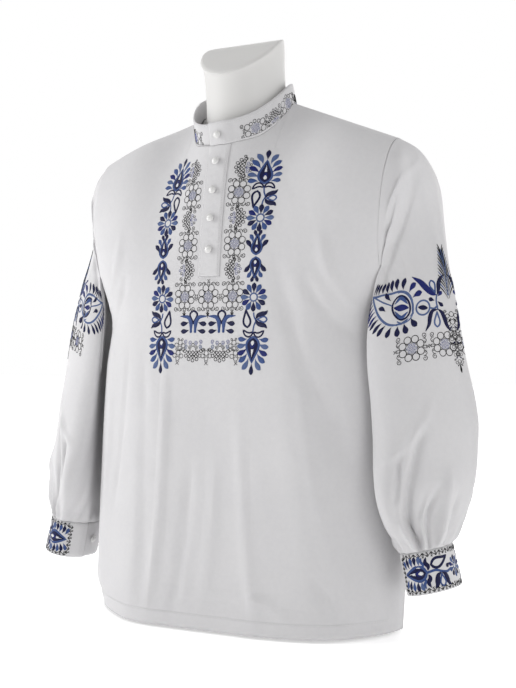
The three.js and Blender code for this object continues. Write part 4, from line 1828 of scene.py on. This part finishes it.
def bowed(start: Spot, end: Spot, bow: float, count: int) -> list[Spot]:
    """Points along a line whose middle is pushed to its left.

    Args:
        start: Its first point.
        end: Its last point.
        bow: How far the middle is pushed.
        count: How many steps.

    Returns:
        The points.
    """
    da, db = end[0] - start[0], end[1] - start[1]
    length = math.hypot(da, db) or 1.0
    found = []
    for k in range(count + 1):
        t = k / count
        push = 4 * bow * t * (1 - t) / length
        found.append((start[0] + da * t - db * push, start[1] + db * t + da * push))
    return found


def curve(points: Line, fine: int) -> list[Spot]:
    """A smooth line through a few points.

    Args:
        points: The points.
        fine: How many steps between two of them.

    Returns:
        The line's points.
    """
    table = Table("k a b", *((k, *point) for k, point in enumerate(points)))
    places = [k / fine for k in range((len(points) - 1) * fine + 1)]
    return [(table.value("a", k), table.value("b", k)) for k in places]


def outlined(line: Line, halves: Sequence[float]) -> list[Spot]:
    """The outline of a shape about a middle line, pointed at both ends.

    Args:
        line: The middle line.
        halves: Half the shape's width at each point.

    Returns:
        The points all round.
    """
    steps = list(zip(line, asides(line), halves))
    left = [(a - da * half, b - db * half) for (a, b), (da, db), half in steps]
    right = [(a + da * half, b + db * half) for (a, b), (da, db), half in steps]
    return left + right[-2:0:-1]


def drop_halves(width: float, belly: float, count: int) -> list[float]:
    """Half the width along a drop.

    Args:
        width: Its greatest width.
        belly: Where that is, from 0 at the thin end to 1 at the round one.
        count: How many steps.

    Returns:
        The halves, nought at both ends.
    """
    power = math.log(0.5) / math.log(belly)
    shares = [math.sin(math.pi * (k / count) ** power) for k in range(count)]
    return [width / 2 * max(0.0, share) ** 0.7 for share in shares] + [0.0]


@dataclass(frozen=True)
class Needle:
    """Lays thread on a patch of cloth, in a frame that can be moved, turned and mirrored."""

    ground: Ground
    work: Meshwork
    origin: complex = 0j
    turn: complex = 1 + 0j
    mirror: bool = False
    over: float = 0.0

    def on(self, a: float, b: float, turn: float = 0.0, size: float = 1.0, mirror: bool = False) -> Self:
        """A needle in a frame inside this one.

        Args:
            a: The new origin's place across.
            b: The new origin's place up.
            turn: Degrees that the new frame is turned.
            size: Its scale.
            mirror: Whether it is mirrored across.

        Returns:
            The new needle.
        """
        z = complex(a, b)
        spin = complex(*polar(size, turn))
        if self.mirror:
            z, spin = -z.conjugate(), spin.conjugate()
        flipped = self.mirror != mirror
        return replace(self, origin=self.origin + self.turn * z, turn=self.turn * spin, mirror=flipped)

    def pair(self) -> tuple[Self, Self]:
        """This frame and its mirror image across."""
        return self, self.on(0, 0, mirror=True)

    def flips(self) -> tuple[Self, Self]:
        """This frame and its mirror image up and down."""
        return self, self.on(0, 0, 180, mirror=True)

    def sweep(
        self,
        line: Line,
        halves: Sequence[float],
        profile: Line,
        thread: Thread,
        lift: float,
        ring: bool = False,
    ) -> None:
        """Covers a strip of cloth with thread.

        Args:
            line: The strip's middle line.
            halves: Half its width at each point.
            profile: Shares of the half width and of the lift, from left to right.
            thread: Its colour.
            lift: How high its middle stands.
            ring: Whether it closes on itself.
        """
        look = list(Thread).index(thread)
        numbers, run = [], 0.0
        for k, ((a, b), (da, db)) in enumerate(zip(line, asides(line, ring))):
            run += math.dist(line[k - 1], line[k]) if k else 0.0
            row = []
            for share, high in profile:
                z = complex(a + da * halves[k] * share, b + db * halves[k] * share)
                z = self.origin + self.turn * (-z.conjugate() if self.mirror else z)
                at = self.ground.at(z.real, z.imag, self.over + high * lift)
                row.append(self.work.add(at, run))
            numbers.append(row)
        if ring:
            numbers.append(numbers[0])
        turned = self.mirror != self.ground.flip
        for low, high in zip(numbers, numbers[1:]):
            for k in range(len(low) - 1):
                corners = (low[k], high[k], high[k + 1], low[k + 1])
                self.work.face(corners if turned else corners[::-1], look)

    def line(self, points: Line, width: float, thread: Thread, ring: bool = False) -> None:
        """Stitches a fine line of even width."""
        self.sweep(points, [width / 2] * len(points), THIN, thread, 0.55, ring)

    def blade(self, line: Line, halves: Sequence[float], thread: Thread, lift: float = 0.8) -> None:
        """Stitches a rounded stroke along a line."""
        self.sweep(line, halves, ROUND, thread, lift)

    def circle(self, a: float, b: float, radius: float, width: float, thread: Thread) -> None:
        """Stitches the outline of a circle.

        Args:
            a: Its middle, across.
            b: Its middle, up.
            radius: Its radius.
            width: The line's width.
            thread: Its colour.
        """
        count = max(10, min(36, int(radius * 3.2)))
        ring = [polar(radius, 360 * k / count) for k in range(count)]
        self.line([(a + x, b + y) for x, y in ring], width, thread, ring=True)

    def disc(self, a: float, b: float, radius: float, thread: Thread, lift: float) -> None:
        """Stitches a filled round.

        Args:
            a: Its middle, across.
            b: Its middle, up.
            radius: Its radius.
            thread: Its colour.
            lift: How high it stands.
        """
        angles = [math.radians(angle) for angle in (-84, -60, -30, 0, 30, 60, 84)]
        line = [(a, b + radius * math.sin(angle)) for angle in angles]
        self.blade(line, [radius * math.cos(angle) for angle in angles], thread, lift)

    def petal(self, base: Spot, tip: Spot, width: float, thread: Thread, bow: float = 0.0) -> None:
        """Stitches a drop with a thin base and a round tip.

        Args:
            base: Its thin end.
            tip: Its round end.
            width: Its greatest width.
            thread: Its colour.
            bow: How far its middle is pushed to the left.
        """
        halves = [max(0.15, half) for half in drop_halves(width, 0.66, 9)]
        self.blade(bowed(base, tip, bow, 9), halves, thread)

    def hollow(
        self, base: Spot, tip: Spot, width: float, line: float, thread: Thread, bow: float = 0.0
    ) -> None:
        """Stitches the outline of a drop with a pointed base and a round tip."""
        rim = outlined(bowed(base, tip, bow, 12), drop_halves(width, 0.68, 12))
        self.line(rim, line, thread, ring=True)

    def leaf(self, points: Line, width: float, thread: Thread) -> None:
        """Stitches a curved leaf, pointed at both ends.

        Args:
            points: Its middle line.
            width: Its greatest width.
            thread: Its colour.
        """
        line = curve(points, 5)
        shares = [max(0.04, math.sin(math.pi * k / (len(line) - 1))) ** 0.7 for k in range(len(line))]
        self.blade(line, [width / 2 * share for share in shares], thread)

    def stem(self, points: Line, width: float, thread: Thread) -> None:
        """Stitches a smooth line through a few points."""
        self.line(curve(points, 5), width, thread)

    def scroll(self, a: float, b: float, radius: float, start: float, hand: int, thread: Thread) -> None:
        """Stitches a spiral that winds in from its outside.

        Args:
            a: Its middle, across.
            b: Its middle, up.
            radius: Its outer radius.
            start: The angle where it begins.
            hand: 1 to wind to the left and -1 to the right.
            thread: Its colour.
        """
        count, winds = 20, 1.35
        points = []
        for k in range(count + 1):
            x, y = polar(radius * (1 - 0.76 * k / count), start + hand * 360 * winds * k / count)
            points.append((a + x, b + y))
        self.line(points, 0.85, thread)

    def cross(self, a: float, b: float, half: float) -> None:
        """Stitches a small black cross."""
        for way in (1, -1):
            self.line([(a - half, b - half * way), (a + half, b + half * way)], 0.85, BLACK)

    def dashes(self, start: Spot, end: Spot, stitch: float = 2.5, pitch: float = 3.5) -> None:
        """Sews a straight row of white top stitches.

        Args:
            start: Where the row begins.
            end: Where it ends.
            stitch: The length of one stitch.
            pitch: From one stitch to the next.
        """
        length = math.dist(start, end)
        da, db = (end[0] - start[0]) / length, (end[1] - start[1]) / length
        for k in range(int(length / pitch)):
            run = k * pitch
            ends = [(start[0] + da * s, start[1] + db * s) for s in (run, run + stitch / 2, run + stitch)]
            self.sweep(ends, (0.22, 0.34, 0.22), THIN, WHITE, 0.42)


class Motifs(Needle):
    """A needle that knows the shirt's motifs, each about its own middle in millimetres."""

    def eye_drop(self, length: float, width: float, rim: float) -> None:
        """A filled drop with a pale eye and wedge in an outline, its round end at the origin.

        Args:
            length: The drop's length.
            width: Its width.
            rim: The outline's width.
        """
        self.petal((0, length), (0, 0), width, NAVY)
        self.hollow((0, length + 2.2), (0, -1.2), width + rim / 2, rim, BLUE)
        self.disc(0, length * 0.3, width * 0.32, ROYAL, 1.0)
        self.disc(0, length * 0.23, width * 0.2, WHITE, 1.25)
        wedge = [(0, length * share) for share in (0.5, 0.6, 0.82)]
        self.blade(wedge, (width * 0.17, width * 0.13, 0.3), WHITE, 1.15)

    def bud(self) -> None:
        """A bud that opens away from the origin, with small petals beside it."""
        self.on(0, 3.2).eye_drop(26.5, 14.4, 3.0)
        for half in self.pair():
            half.petal((2.6, 27.5), (5.6, 37.5), 5.6, NAVY, 0.8)
            half.petal((6.6, 20.0), (12.0, 31.0), 6.2, BLUE, 1.4)
            half.petal((8.6, 10.0), (17.2, 22.5), 6.8, NAVY, 1.8)

    def flower(self, reach: float = 20.8, count: int = 12, width: float = 7.6) -> None:
        """A round flower of drop-shaped petals about an open ring.

        Args:
            reach: Its radius.
            count: How many petals.
            width: A petal's width.
        """
        ring = reach * 0.27
        self.circle(0, 0, ring, 2.2, GREY_BLUE)
        for k in range(count):
            thread = (NAVY, BLUE, ROYAL, GREY_BLUE, NAVY, BLUE)[k % 6]
            self.on(0, 0, 360 * k / count).petal((0, ring + 0.8), (0, reach), width, thread)

    def tulip(self) -> None:
        """Two curved leaves about a hollow one, opening up from the origin."""
        for half in self.pair():
            half.leaf([(0.6, 0.5), (5.4, 3.6), (7.6, 9.5), (9.0, 14.5), (12.6, 18.2)], 7.2, NAVY)
        self.hollow((0, 2.0), (0, 17.5), 8.0, 2.4, BLUE)

    def finial(self) -> None:
        """A drop with petals all round its outer end; its round end is at the origin."""
        self.eye_drop(33, 17.5, 3.6)
        plan = ((9.0, 1.5, -2, BLUE), (9.6, 8.5, 14, GREY_BLUE), (9.2, 15.5, 29, ROYAL))
        plan += ((8.0, 22.5, 44, BLUE), (5.4, 29.5, 60, GREY_BLUE))
        for half in self.pair():
            for k, (a, b, angle, thread) in enumerate(plan):
                half.on(a, b, angle).petal((0, 0), (14.5 + k, 0), 7.2 + 0.2 * k, thread, 1.6)
        self.petal((0, 37), (0, 53), 7.0, NAVY)

    def half_band(self, spine: Table, way: int) -> None:
        """Half of an outer band, from the middle junction out to its finial.

        Args:
            spine: The band's place across by its place up.
            way: 1 for the upper half and -1 for the lower.
        """

        def at(b: float) -> Self:
            """The frame at a distance from the junction, turned along the spine.

            Args:
                b: The distance.

            Returns:
                The needle there.
            """
            b *= 1.0 if way > 0 else 1.06
            here, there = spine.value("a", way * b), spine.value("a", way * (b + 2))
            turn = math.degrees(math.atan2(2, (there - here) * way)) - 90
            return self.on(here, b, turn) if way > 0 else self.on(here, -b, 180 - turn, mirror=True)

        at(0).bud()
        at(56).flower()
        stalk = at(88)
        stalk.stem([(0, -12), (1.0, -6), (3.6, 0), (1.2, 7), (0, 16)], 2.2, BLUE)
        stalk.on(3.2, -2.5, -90).tulip()
        stalk.hollow((-12.4, -16.0), (-8.6, 9.0), 11.0, 3.2, NAVY)
        shape = curve([(0.8, -1), (5.5, 2.6), (10.5, 1.8), (16.0, -3.4)], 4)
        halves = [3.0 * math.sin(math.pi * k / 12) ** 0.7 for k in range(12)] + [0.0]
        for half in at(104).pair():
            half.line(outlined(shape, halves), 2.5, NAVY, ring=True)
        at(110.5).finial()

    def blossom(self) -> None:
        """The small pale flower in the middle of a rosette."""
        for k in range(6):
            spoke = self.on(0, 0, 60 * k)
            spoke.circle(0, 5.0, 2.2, 0.6, LILAC)
            spoke.line([(0, 4.0), (0, 6.2)], 0.7, GREY_BLUE)
        self.circle(0, 0, 1.5, 0.7, LILAC)

    def rosette(self) -> None:
        """A ring of outlined circles about a blossom, with scrolls at its corners."""
        self.blossom()
        for k in range(8):
            self.circle(*polar(12.7, 22.5 + 45 * k, 1.06), 4.9, 1.0, BLACK)
            self.circle(*polar(8.4, 45 * k, 1.06), 1.2, 0.8, BLACK)
        for end in self.flips():
            for half in end.pair():
                half.scroll(15.2, 17.6, 3.9, 205, -1, BLACK)
                half.stem([(12.0, 17.2), (8.6, 20.8), (4.4, 19.0)], 0.85, BLACK)
                half.circle(6.2, 18.2, 1.3, 0.7, BLACK)
            end.circle(0, 18.6, 2.0, 0.8, BLACK)
            end.cross(0, 22.8, 2.2)

    def lattice(self, radius: float) -> None:
        """A half round of crossed black lines that opens to +a, with loops along its edge.

        Args:
            radius: Its radius.
        """
        for way in (1, -1):
            for k in range(-3, 4):
                ends = [(t, way * (t - 5.0 * k)) for t in range(15) if math.hypot(t, t - 5.0 * k) < radius]
                if len(ends) > 1:
                    self.line([ends[0], ends[-1]], 0.95, BLACK)
        for k in range(-3, 4):
            self.circle(*polar(radius + 1.4, 29 * k), 2.3, 0.95, BLACK)
        self.line([polar(radius * 0.62, 15 * k) for k in range(-6, 7)], 0.9, BLACK)

    def fan(self) -> None:
        """A half round of open lattice with pale sprigs behind it."""
        self.on(-2, 0).lattice(12.4)
        for k in range(-2, 3):
            spoke = self.on(-2, 0, 180 + 32 * k)
            spoke.line([(0.5, 0), (8.2 - abs(k), 0)], 0.7, LILAC)
            spoke.circle(9.6 - abs(k), 0, 1.7, 0.8, BLACK if k % 2 else LILAC)
        for half in self.flips():
            half.scroll(-8.6, 12.4, 3.2, 40, 1, BLACK)
            half.stem([(-1, 9), (-2.6, 13), (-0.4, 16.2)], 0.95, BLACK)
            half.circle(0.2, 17.6, 1.7, 0.9, BLACK)

    def pendant(self) -> None:
        """A small cross-shaped drop that hangs from a rosette."""
        self.cross(0, -26.6, 2.8)
        self.line([(0, -23.6), (0, -31.0)], 0.9, BLACK)
        self.circle(0, -26.6, 1.6, 0.8, BLACK)

    def lyre(self) -> None:
        """A hollow drop between two blue stems, with leaves on each side."""
        self.hollow((0, -5), (0, 13.5), 12.6, 3.2, NAVY)
        for half in self.pair():
            half.leaf([(3.8, -19), (3.8, -9), (5.0, -1), (10.5, 4.4), (23.5, 5.6)], 7.0, BLUE)
            half.line([(3.7, -18.4), (3.8, -6)], 4.2, BLUE)
            half.petal((8.2, -3.4), (22.6, -5.6), 7.4, NAVY, -0.8)
            half.petal((7.4, -14.6), (21.6, -16.6), 7.0, NAVY, -0.8)

    def basket(self) -> None:
        """A half round basket of lattice under an arch of loops."""
        self.on(0, 0.5, -90).lattice(11.5)
        loops = ((4.4, 4.8, BLACK), (11.0, 5.8, GREY_BLUE), (4.2, 11.0, LILAC), (11.6, 12.4, LILAC))
        for side in self.pair():
            for a, b, thread in loops:
                side.scroll(a, b, 2.9, 250, 1, thread)
            side.circle(15.6, 1.6, 2.2, 0.9, BLACK)
        self.circle(0, 8.0, 2.1, 0.9, BLACK)

    def cluster(self, hang: bool = True) -> None:
        """A few linked circles, with a cross under them where they hang.

        Args:
            hang: Whether it hangs.
        """
        plan = ((0, 0, 3.7), (-6.4, -4.4, 3.3), (6.4, -4.4, 3.3), (0, -8.8, 3.3))
        plan += ((-3.6, 5, 1.5), (3.6, 5, 1.5))
        for a, b, radius in plan:
            self.circle(a, b, radius, 0.85, BLACK)
        if hang:
            self.cross(0, -15.4, 2.8)

    def scroll_border(self, start: float, end: float) -> None:
        """A narrow running border of crossed scrolls along +a.

        Args:
            start: Where it begins.
            end: Where it ends.
        """
        count = max(1, round((end - start) / 6.2))
        step = (end - start) / count
        wave = [(start + step * k / 8, 1.8 * math.sin(math.pi * k / 8)) for k in range(count * 8 + 1)]
        self.line(wave, 0.9, BLACK)
        for k in range(count):
            flip = 1 if k % 2 else -1
            self.scroll(start + step * (k + 0.5), -1.3 * flip, 2.0, 90 * flip, flip, BLACK)
            self.cross(start + step * (k + 0.5), 2.4 * flip, 1.4)

    def paisley(self) -> None:
        """A big drop lying along +a with a banded ball in it and petals all round."""

        def oval(share: float, angle: float) -> Spot:
            """A place of the ball, which leans with the drop."""
            x, y = polar(share, angle)
            return 15.6 * x + 8.4 * y, 15.6 * y - 2.4 * x

        rim = outlined(bowed((80, 19), (-22, -3), 7.0, 20), drop_halves(47, 0.74, 20))
        self.line(rim, 3.2, GREY_BLUE, ring=True)
        self.line([oval(1.26, 74 + 8 * k) for k in range(28)], 2.0, GREY_BLUE)
        self.line([oval(0.95, 10 * k) for k in range(36)], 3.0, NAVY, ring=True)
        self.leaf([oval(0.8, 180), (0, 0), oval(0.8, 0)], 9.0, ROYAL)
        for turn in (0, 180):
            self.leaf([oval(0.78, turn + angle) for angle in (156, 90, 24)], 5.6, BLUE)
        self.petal((23, 7), (40, 17), 6.2, NAVY, -1.2)
        self.petal((24, -9), (41, -4), 6.2, NAVY, 1.2)
        self.stem([(16, 0), (38, 4), (74, 17)], 2.0, GREY_BLUE)
        outline = curve(rim + rim[:1], 4)
        pitch = sum(math.dist(p, q) for p, q in zip(outline, outline[1:])) / 25
        run = pitch / 2
        foot, reach = 2.4, 15.5
        ball, clear = (-33, 9), 15.5
        for (p, q), (da, db) in zip(zip(outline, outline[1:]), asides(outline)):
            run += math.dist(p, q)
            if run < pitch:
                continue
            run -= pitch
            lean = 0.45 * smooth((p[0] + 12) / 30)
            base = (p[0] - da * foot, p[1] - db * foot)
            tip = (base[0] - da * reach + lean * reach * 0.7, base[1] - db * reach)
            thread = (NAVY, ROYAL, NAVY)[int(p[0] + 60) % 3]
            if math.dist(tip, ball) > clear:
                self.petal(base, tip, 8.4 - 0.02 * p[0], thread, 1.2 if db > 0 else -1.2)

    def ball(self) -> None:
        """The small ringed leaf behind a paisley, with the stem it grows from."""
        self.circle(0, 0, 10.2, 2.6, GREY_BLUE)
        self.leaf([(-7.6, 0), (0, 0), (7.6, 0)], 7.0, NAVY)
        self.stem([(-10, 1), (-17, 1), (-22, 6)], 2.6, GREY_BLUE)

    def sleeve_tulips(self) -> None:
        """The stem in front of the outer line of the sleeve with a tulip up and a tulip down."""
        self.stem([(-2, 8), (0.6, -2), (0, -14)], 2.4, GREY_BLUE)
        up, down = self.on(-2, 7), self.on(0, -13, 180)
        up.leaf([(0.5, 0), (8, 4.5), (16, 15), (23, 25), (34, 35)], 8.6, ROYAL)
        up.leaf([(-0.5, 0), (-3.6, 7), (-5.4, 15), (-9, 22), (-16, 26)], 6.8, NAVY)
        up.hollow((2, 3), (6, 22), 8.0, 2.6, BLUE)
        down.leaf([(0, 0), (-9, 1), (-14, 9), (-17, 18), (-24, 27)], 6.4, NAVY)
        down.leaf([(0, 0), (5, 5), (8, 14), (10, 24), (15, 33)], 6.4, NAVY)
        down.hollow((-2, 3), (-5, 24), 8.4, 2.6, GREY_BLUE)
        self.petal((3.0, 0), (11.6, 4.2), 6.0, NAVY)
        self.petal((-1.5, -2), (-9.0, -10.0), 5.6, NAVY)
        self.petal((-3.2, 5), (-10.4, 11.2), 6.0, ROYAL)

    def plume(self) -> None:
        """A tall plume of narrow leaves that rises from the origin."""
        self.stem([(0, -16), (0, 16), (0, 50)], 1.6, GREY_BLUE)
        for side in self.pair():
            for k in range(13):
                spray = side.on(0.8, 4.8 * k - 20, 58 + 1.7 * k)
                thread = (BLACK, GREY_BLUE, BLACK)[k % 3]
                spray.petal((0, 0), (24 - 0.3 * k, 0), 1.7, thread, 1.2)

    def drop_chain(self) -> None:
        """A narrow column of linked circles, scrolls and leaves that hangs from the origin."""
        for k in range(7):
            link = self.on(0, -4.0 - 11.0 * k, size=1 - 0.06 * k)
            link.circle(0, 0, 3.7, 0.9, BLACK)
            for side in link.pair():
                side.circle(6.8, -2.2, 3.0, 0.9, BLACK)
                side.scroll(10.0, 4.0, 2.6, 200, -1, BLACK)
                side.petal((1.5, -5.4), (6.2, -10.0), 2.6, NAVY if k % 2 else BLACK)
        self.petal((0, -72), (0, -86), 3.2, BLACK)

    def cuff_half(self) -> None:
        """Half of a cuff's border, from its flower out to the scrolled end."""
        self.stem([(11.5, -1), (20, -4), (29, -2.5), (40, 1.2), (52, 0)], 3.4, BLUE)
        self.hollow((17.0, 17.0), (45.0, 9.6), 12.8, 3.8, NAVY, -1.6)
        self.petal((13.5, 6.4), (20.5, 1.8), 6.0, NAVY)
        self.on(31.5, -2.6, 180, 1.08).tulip()
        for half in self.flips():
            half.leaf([(50.8, 2.5), (49.4, 8), (52.6, 13.5), (50.2, 20.4)], 6.0, NAVY)
            half.leaf([(57.0, 6.5), (56.0, 11), (58.2, 15.5), (56.8, 21.0)], 4.0, BLUE)
            for k, thread in enumerate((GREY_BLUE, NAVY, BLUE, NAVY, BLUE)):
                base = (61.5 + 5.0 * k, 10.4 - 0.7 * max(0, k - 1) ** 1.4)
                half.on(*base, lerp(98, 66, k / 4)).petal((0, 0), (12.5, 0), 5.8, thread, -1.0)
        self.on(54, 0, -90).eye_drop(29, 17.5, 4.0)

    def collar_rosette(self) -> None:
        """A low rosette with a pale blossom, two pairs of circles and scrolled ends."""
        self.blossom()
        for end in self.flips():
            for k in range(3):
                end.circle(*polar(10.4, 52 + 38 * k), 2.5, 0.85, BLACK)
            for half in end.pair():
                half.circle(12.6, 4.9, 4.3, 0.9, BLACK)
                half.scroll(20.2, 8.2, 3.2, -120, 1, BLACK)
                half.circle(18.0, 2.0, 1.4, 0.8, BLACK)


@dataclass
class Embroidery:
    """All the thread on the shirt, one piece for each patch of cloth."""

    body: BodyForm
    sleeve: SleeveForm
    cuff: CuffForm
    collar: CollarForm
    finishes: list[Material]
    junction_z: float = 534.5
    hem_line: float = 23.5
    placket_half: float = 15.3
    placket_over: float = 2.6
    spines: tuple[Table, Table] = (
        Table("b a", (-170, 78), (-90, 75.5), (0, 75), (55, 76), (110, 74.5), (165, 71)),
        Table("b a", (-170, 80), (-90, 80), (0, 85.5), (55, 85), (110, 81), (165, 70)),
    )

    def front_ground(self) -> Ground:
        """The chart of the chest: across by place, up by length along the cloth.

        Returns:
            The chart.
        """
        keys = [360 + 2.5 * k for k in range(141)]
        columns = [-120 + 10 * k for k in range(25)]
        runs = []
        for x in columns:
            runs.append(measured(partial(self.body.spot, Face.FRONT, x), keys, self.junction_z))

        def spot(a: float, b: float) -> Vector:
            """The cloth at a place of the chart."""
            return self.body.spot(Face.FRONT, a, read_across(runs, keys, (a - columns[0]) / 10, b))

        return Ground(spot, (-112, -176), (112, 172), False)

    def chest(self) -> None:
        """The chest's bands, filigree columns and lower border, and the placket's stitches."""
        n = Motifs(self.front_ground(), Meshwork())
        for spine, half in zip(self.spines, n.pair()):
            for way in (1, -1):
                half.half_band(spine, way)
            for a, b, turn in ((40, -18, 180), (41, 57, 0), (43, 133, 180)):
                half.on(a, b, turn).fan()
            for a, b in ((40, 19), (40, 95), (41, -57)):
                half.on(a, b).rosette()
            half.on(41, -57).pendant()
            half.on(24, -91).lyre()
            half.on(23, -136, size=1.1).basket()
            half.on(20.5, -57, size=0.5).cluster(False)
            for a, b in ((46, -124), (49, -139)):
                half.on(a, b, 4, 0.95).cluster(b < -130)
        n.on(0, -139, size=0.95).cluster()
        n.on(0, -57).rosette()
        n.on(0, -57).pendant()
        self.finish(n, "chest_embroidery")
        band = Motifs(n.ground, Meshwork(), over=self.placket_over)
        foot, head, half = -35.0, 158.0, self.placket_half
        for a in (-half, half):
            band.dashes((a, foot), (a, head))
        for b in (foot, foot + 6):
            band.dashes((-half, b), (half, b))
        self.finish(band, "placket_stitches")

    def hem(self, face: Face) -> None:
        """The row of top stitches above the hem of one face.

        Args:
            face: Front or back.
        """
        keys = [k / 60 for k in range(-59, 60)]
        level = self.hem_line
        run = measured(lambda across: self.body.skirt(face, across, level), keys, 0.0)

        def spot(a: float, b: float) -> Vector:
            """The cloth at a place of the chart."""
            return self.body.skirt(face, read_back(run, keys, a * -face.value), level + b)

        n = Motifs(Ground(spot, (run[0], -4), (run[-1], 4), False), Meshwork())
        n.dashes((run[0] + 2, 0), (run[-1] - 2, 0))
        self.finish(n, f"hem_stitches_{face.word}")

    def sleeve_ground(self, side: Side) -> Ground:
        """The chart of a sleeve: across from its outer line to the front, up its length.

        Args:
            side: Which sleeve.

        Returns:
            The chart.
        """
        form = self.sleeve
        ats = [k / 80 for k in range(81)]
        down = measured(lambda at: form.point(25.0, at), ats, 0.0)
        angles = [-150 + 5 * k for k in range(61)]
        rings = [measured(lambda angle, at=at: form.point(angle, at), angles, 0.0) for at in ats]

        def spot(a: float, b: float) -> Vector:
            """The cloth at a place of the chart."""
            at = read_back(down, ats, -b)
            return form.point(read_across(rings, angles, at * 80, a), at) * side.flip

        return Ground(spot, (-165, -360), (175, -110), side is Side.LEFT)

    def sleeve_band(self, side: Side, shift: float, drop: float) -> None:
        """A sleeve's band, the same to the front and the back of its outer line.

        Args:
            side: Which sleeve.
            shift: How far the band is turned towards the front.
            drop: How far down the sleeve its middle lies.
        """
        n = Motifs(self.sleeve_ground(side), Meshwork(), complex(shift, -drop))
        for half in n.pair():
            half.on(74, 0, 36).paisley()
            half.on(42, -12, 20).ball()
            half.on(20, -6).sleeve_tulips()
            half.on(68, -64, 97, 1.06).rosette()
            half.on(18, -68, 93).rosette()
        n.on(0, 14).plume()
        n.on(0, -24).drop_chain()
        self.finish(n, f"sleeve_embroidery_{side.word}")

    def cuff_band(self, side: Side) -> None:
        """A cuff's band, on a chart across from its outer line and up from its middle.

        Args:
            side: Which cuff.
        """
        angles = [-150 + 5 * k for k in range(61)]
        run = measured(lambda angle: self.cuff.point(angle, 0.5), angles, 0.0)

        def spot(a: float, b: float) -> Vector:
            """The cloth at a place of the chart."""
            angle = read_back(run, angles, a)
            return self.cuff.point(angle, 0.5 - b / self.cuff.height, self.cuff.tuck(angle)) * side.flip

        n = Motifs(Ground(spot, (-108, -30), (108, 30), side is Side.LEFT), Meshwork())
        n.flower(15.0, 10, 6.4)
        for half in n.pair():
            half.cuff_half()
            for b in (23.4, -23.4):
                half.on(0, b).scroll_border(0, 89)
                half.dashes((0, b * 1.145), (100, b * 1.145))
            half.on(90, 0, 90).scroll_border(-23.4, 23.4)
        self.finish(n, f"cuff_embroidery_{side.word}")

    def collar_band(self) -> None:
        """The collar's rosettes and fans, on a chart round the neck and up from its middle."""
        turns = [5 * k for k in range(73)]
        run = measured(lambda turn: self.collar.point(turn, 0.5), turns, 0.0)

        def spot(a: float, b: float) -> Vector:
            """The cloth at a place of the chart."""
            turn = read_back(run, turns, a)
            return self.collar.point(turn, 0.5 + b / self.collar.height(turn))

        n = Motifs(Ground(spot, (0, -15), (run[-1], 15), False), Meshwork())
        for half in (n, n.on(run[-1], 0, mirror=True)):
            for k in range(6):
                place = half.on(58 + 35 * k, -6.0)
                if k % 2:
                    place.on(0, -1, 90, 0.84).fan()
                else:
                    place.collar_rosette()
        for b in (-13, 13):
            n.dashes((1, b), (run[-1] - 3, b))
        self.finish(n, "collar_embroidery")

    def finish(self, n: Needle, name: str) -> None:
        """Makes a needle's work into a piece."""
        settle(n.work.piece(name, self.finishes), Slot.COTTON)

    def build(self) -> None:
        """Makes all of it."""
        self.chest()
        self.sleeve_band(Side.LEFT, 12, 237)
        self.sleeve_band(Side.RIGHT, 24, 222)
        for side in Side:
            self.cuff_band(side)
        for face in Face:
            self.hem(face)
        self.collar_band()


def main() -> None:
    """Builds the shirt, its form and the studio."""
    logging.basicConfig(level=logging.INFO, format="%(name)s: %(message)s")
    body = BodyForm()
    sleeve = SleeveForm(body)
    cuff = CuffForm()
    collar = CollarForm(body)
    cotton = Cotton("white_cotton").material()
    band = Cotton("band_cotton", relief=0.22).material()
    for face in Face:
        BodyPanel(body, face, cotton).build()
    Placket(body, band).build()
    Collar(collar, band).build()
    for side in Side:
        tilted = Cotton(f"sleeve_cotton_{side.word}", tilt=14.0 * side.value).material()
        Sleeve(sleeve, cuff, side, tilted).build()
        Cuff(cuff, side, band).build()
    Buttons(body, collar, cuff, Pearl("pearl").material()).build()
    Embroidery(body, sleeve, cuff, collar, [Floss(thread).material() for thread in Thread]).build()
    DressForm(TorsoForm(body), FormSkin("form_skin").material()).build()
    Studio().build()


if __name__ == "__main__":
    main()
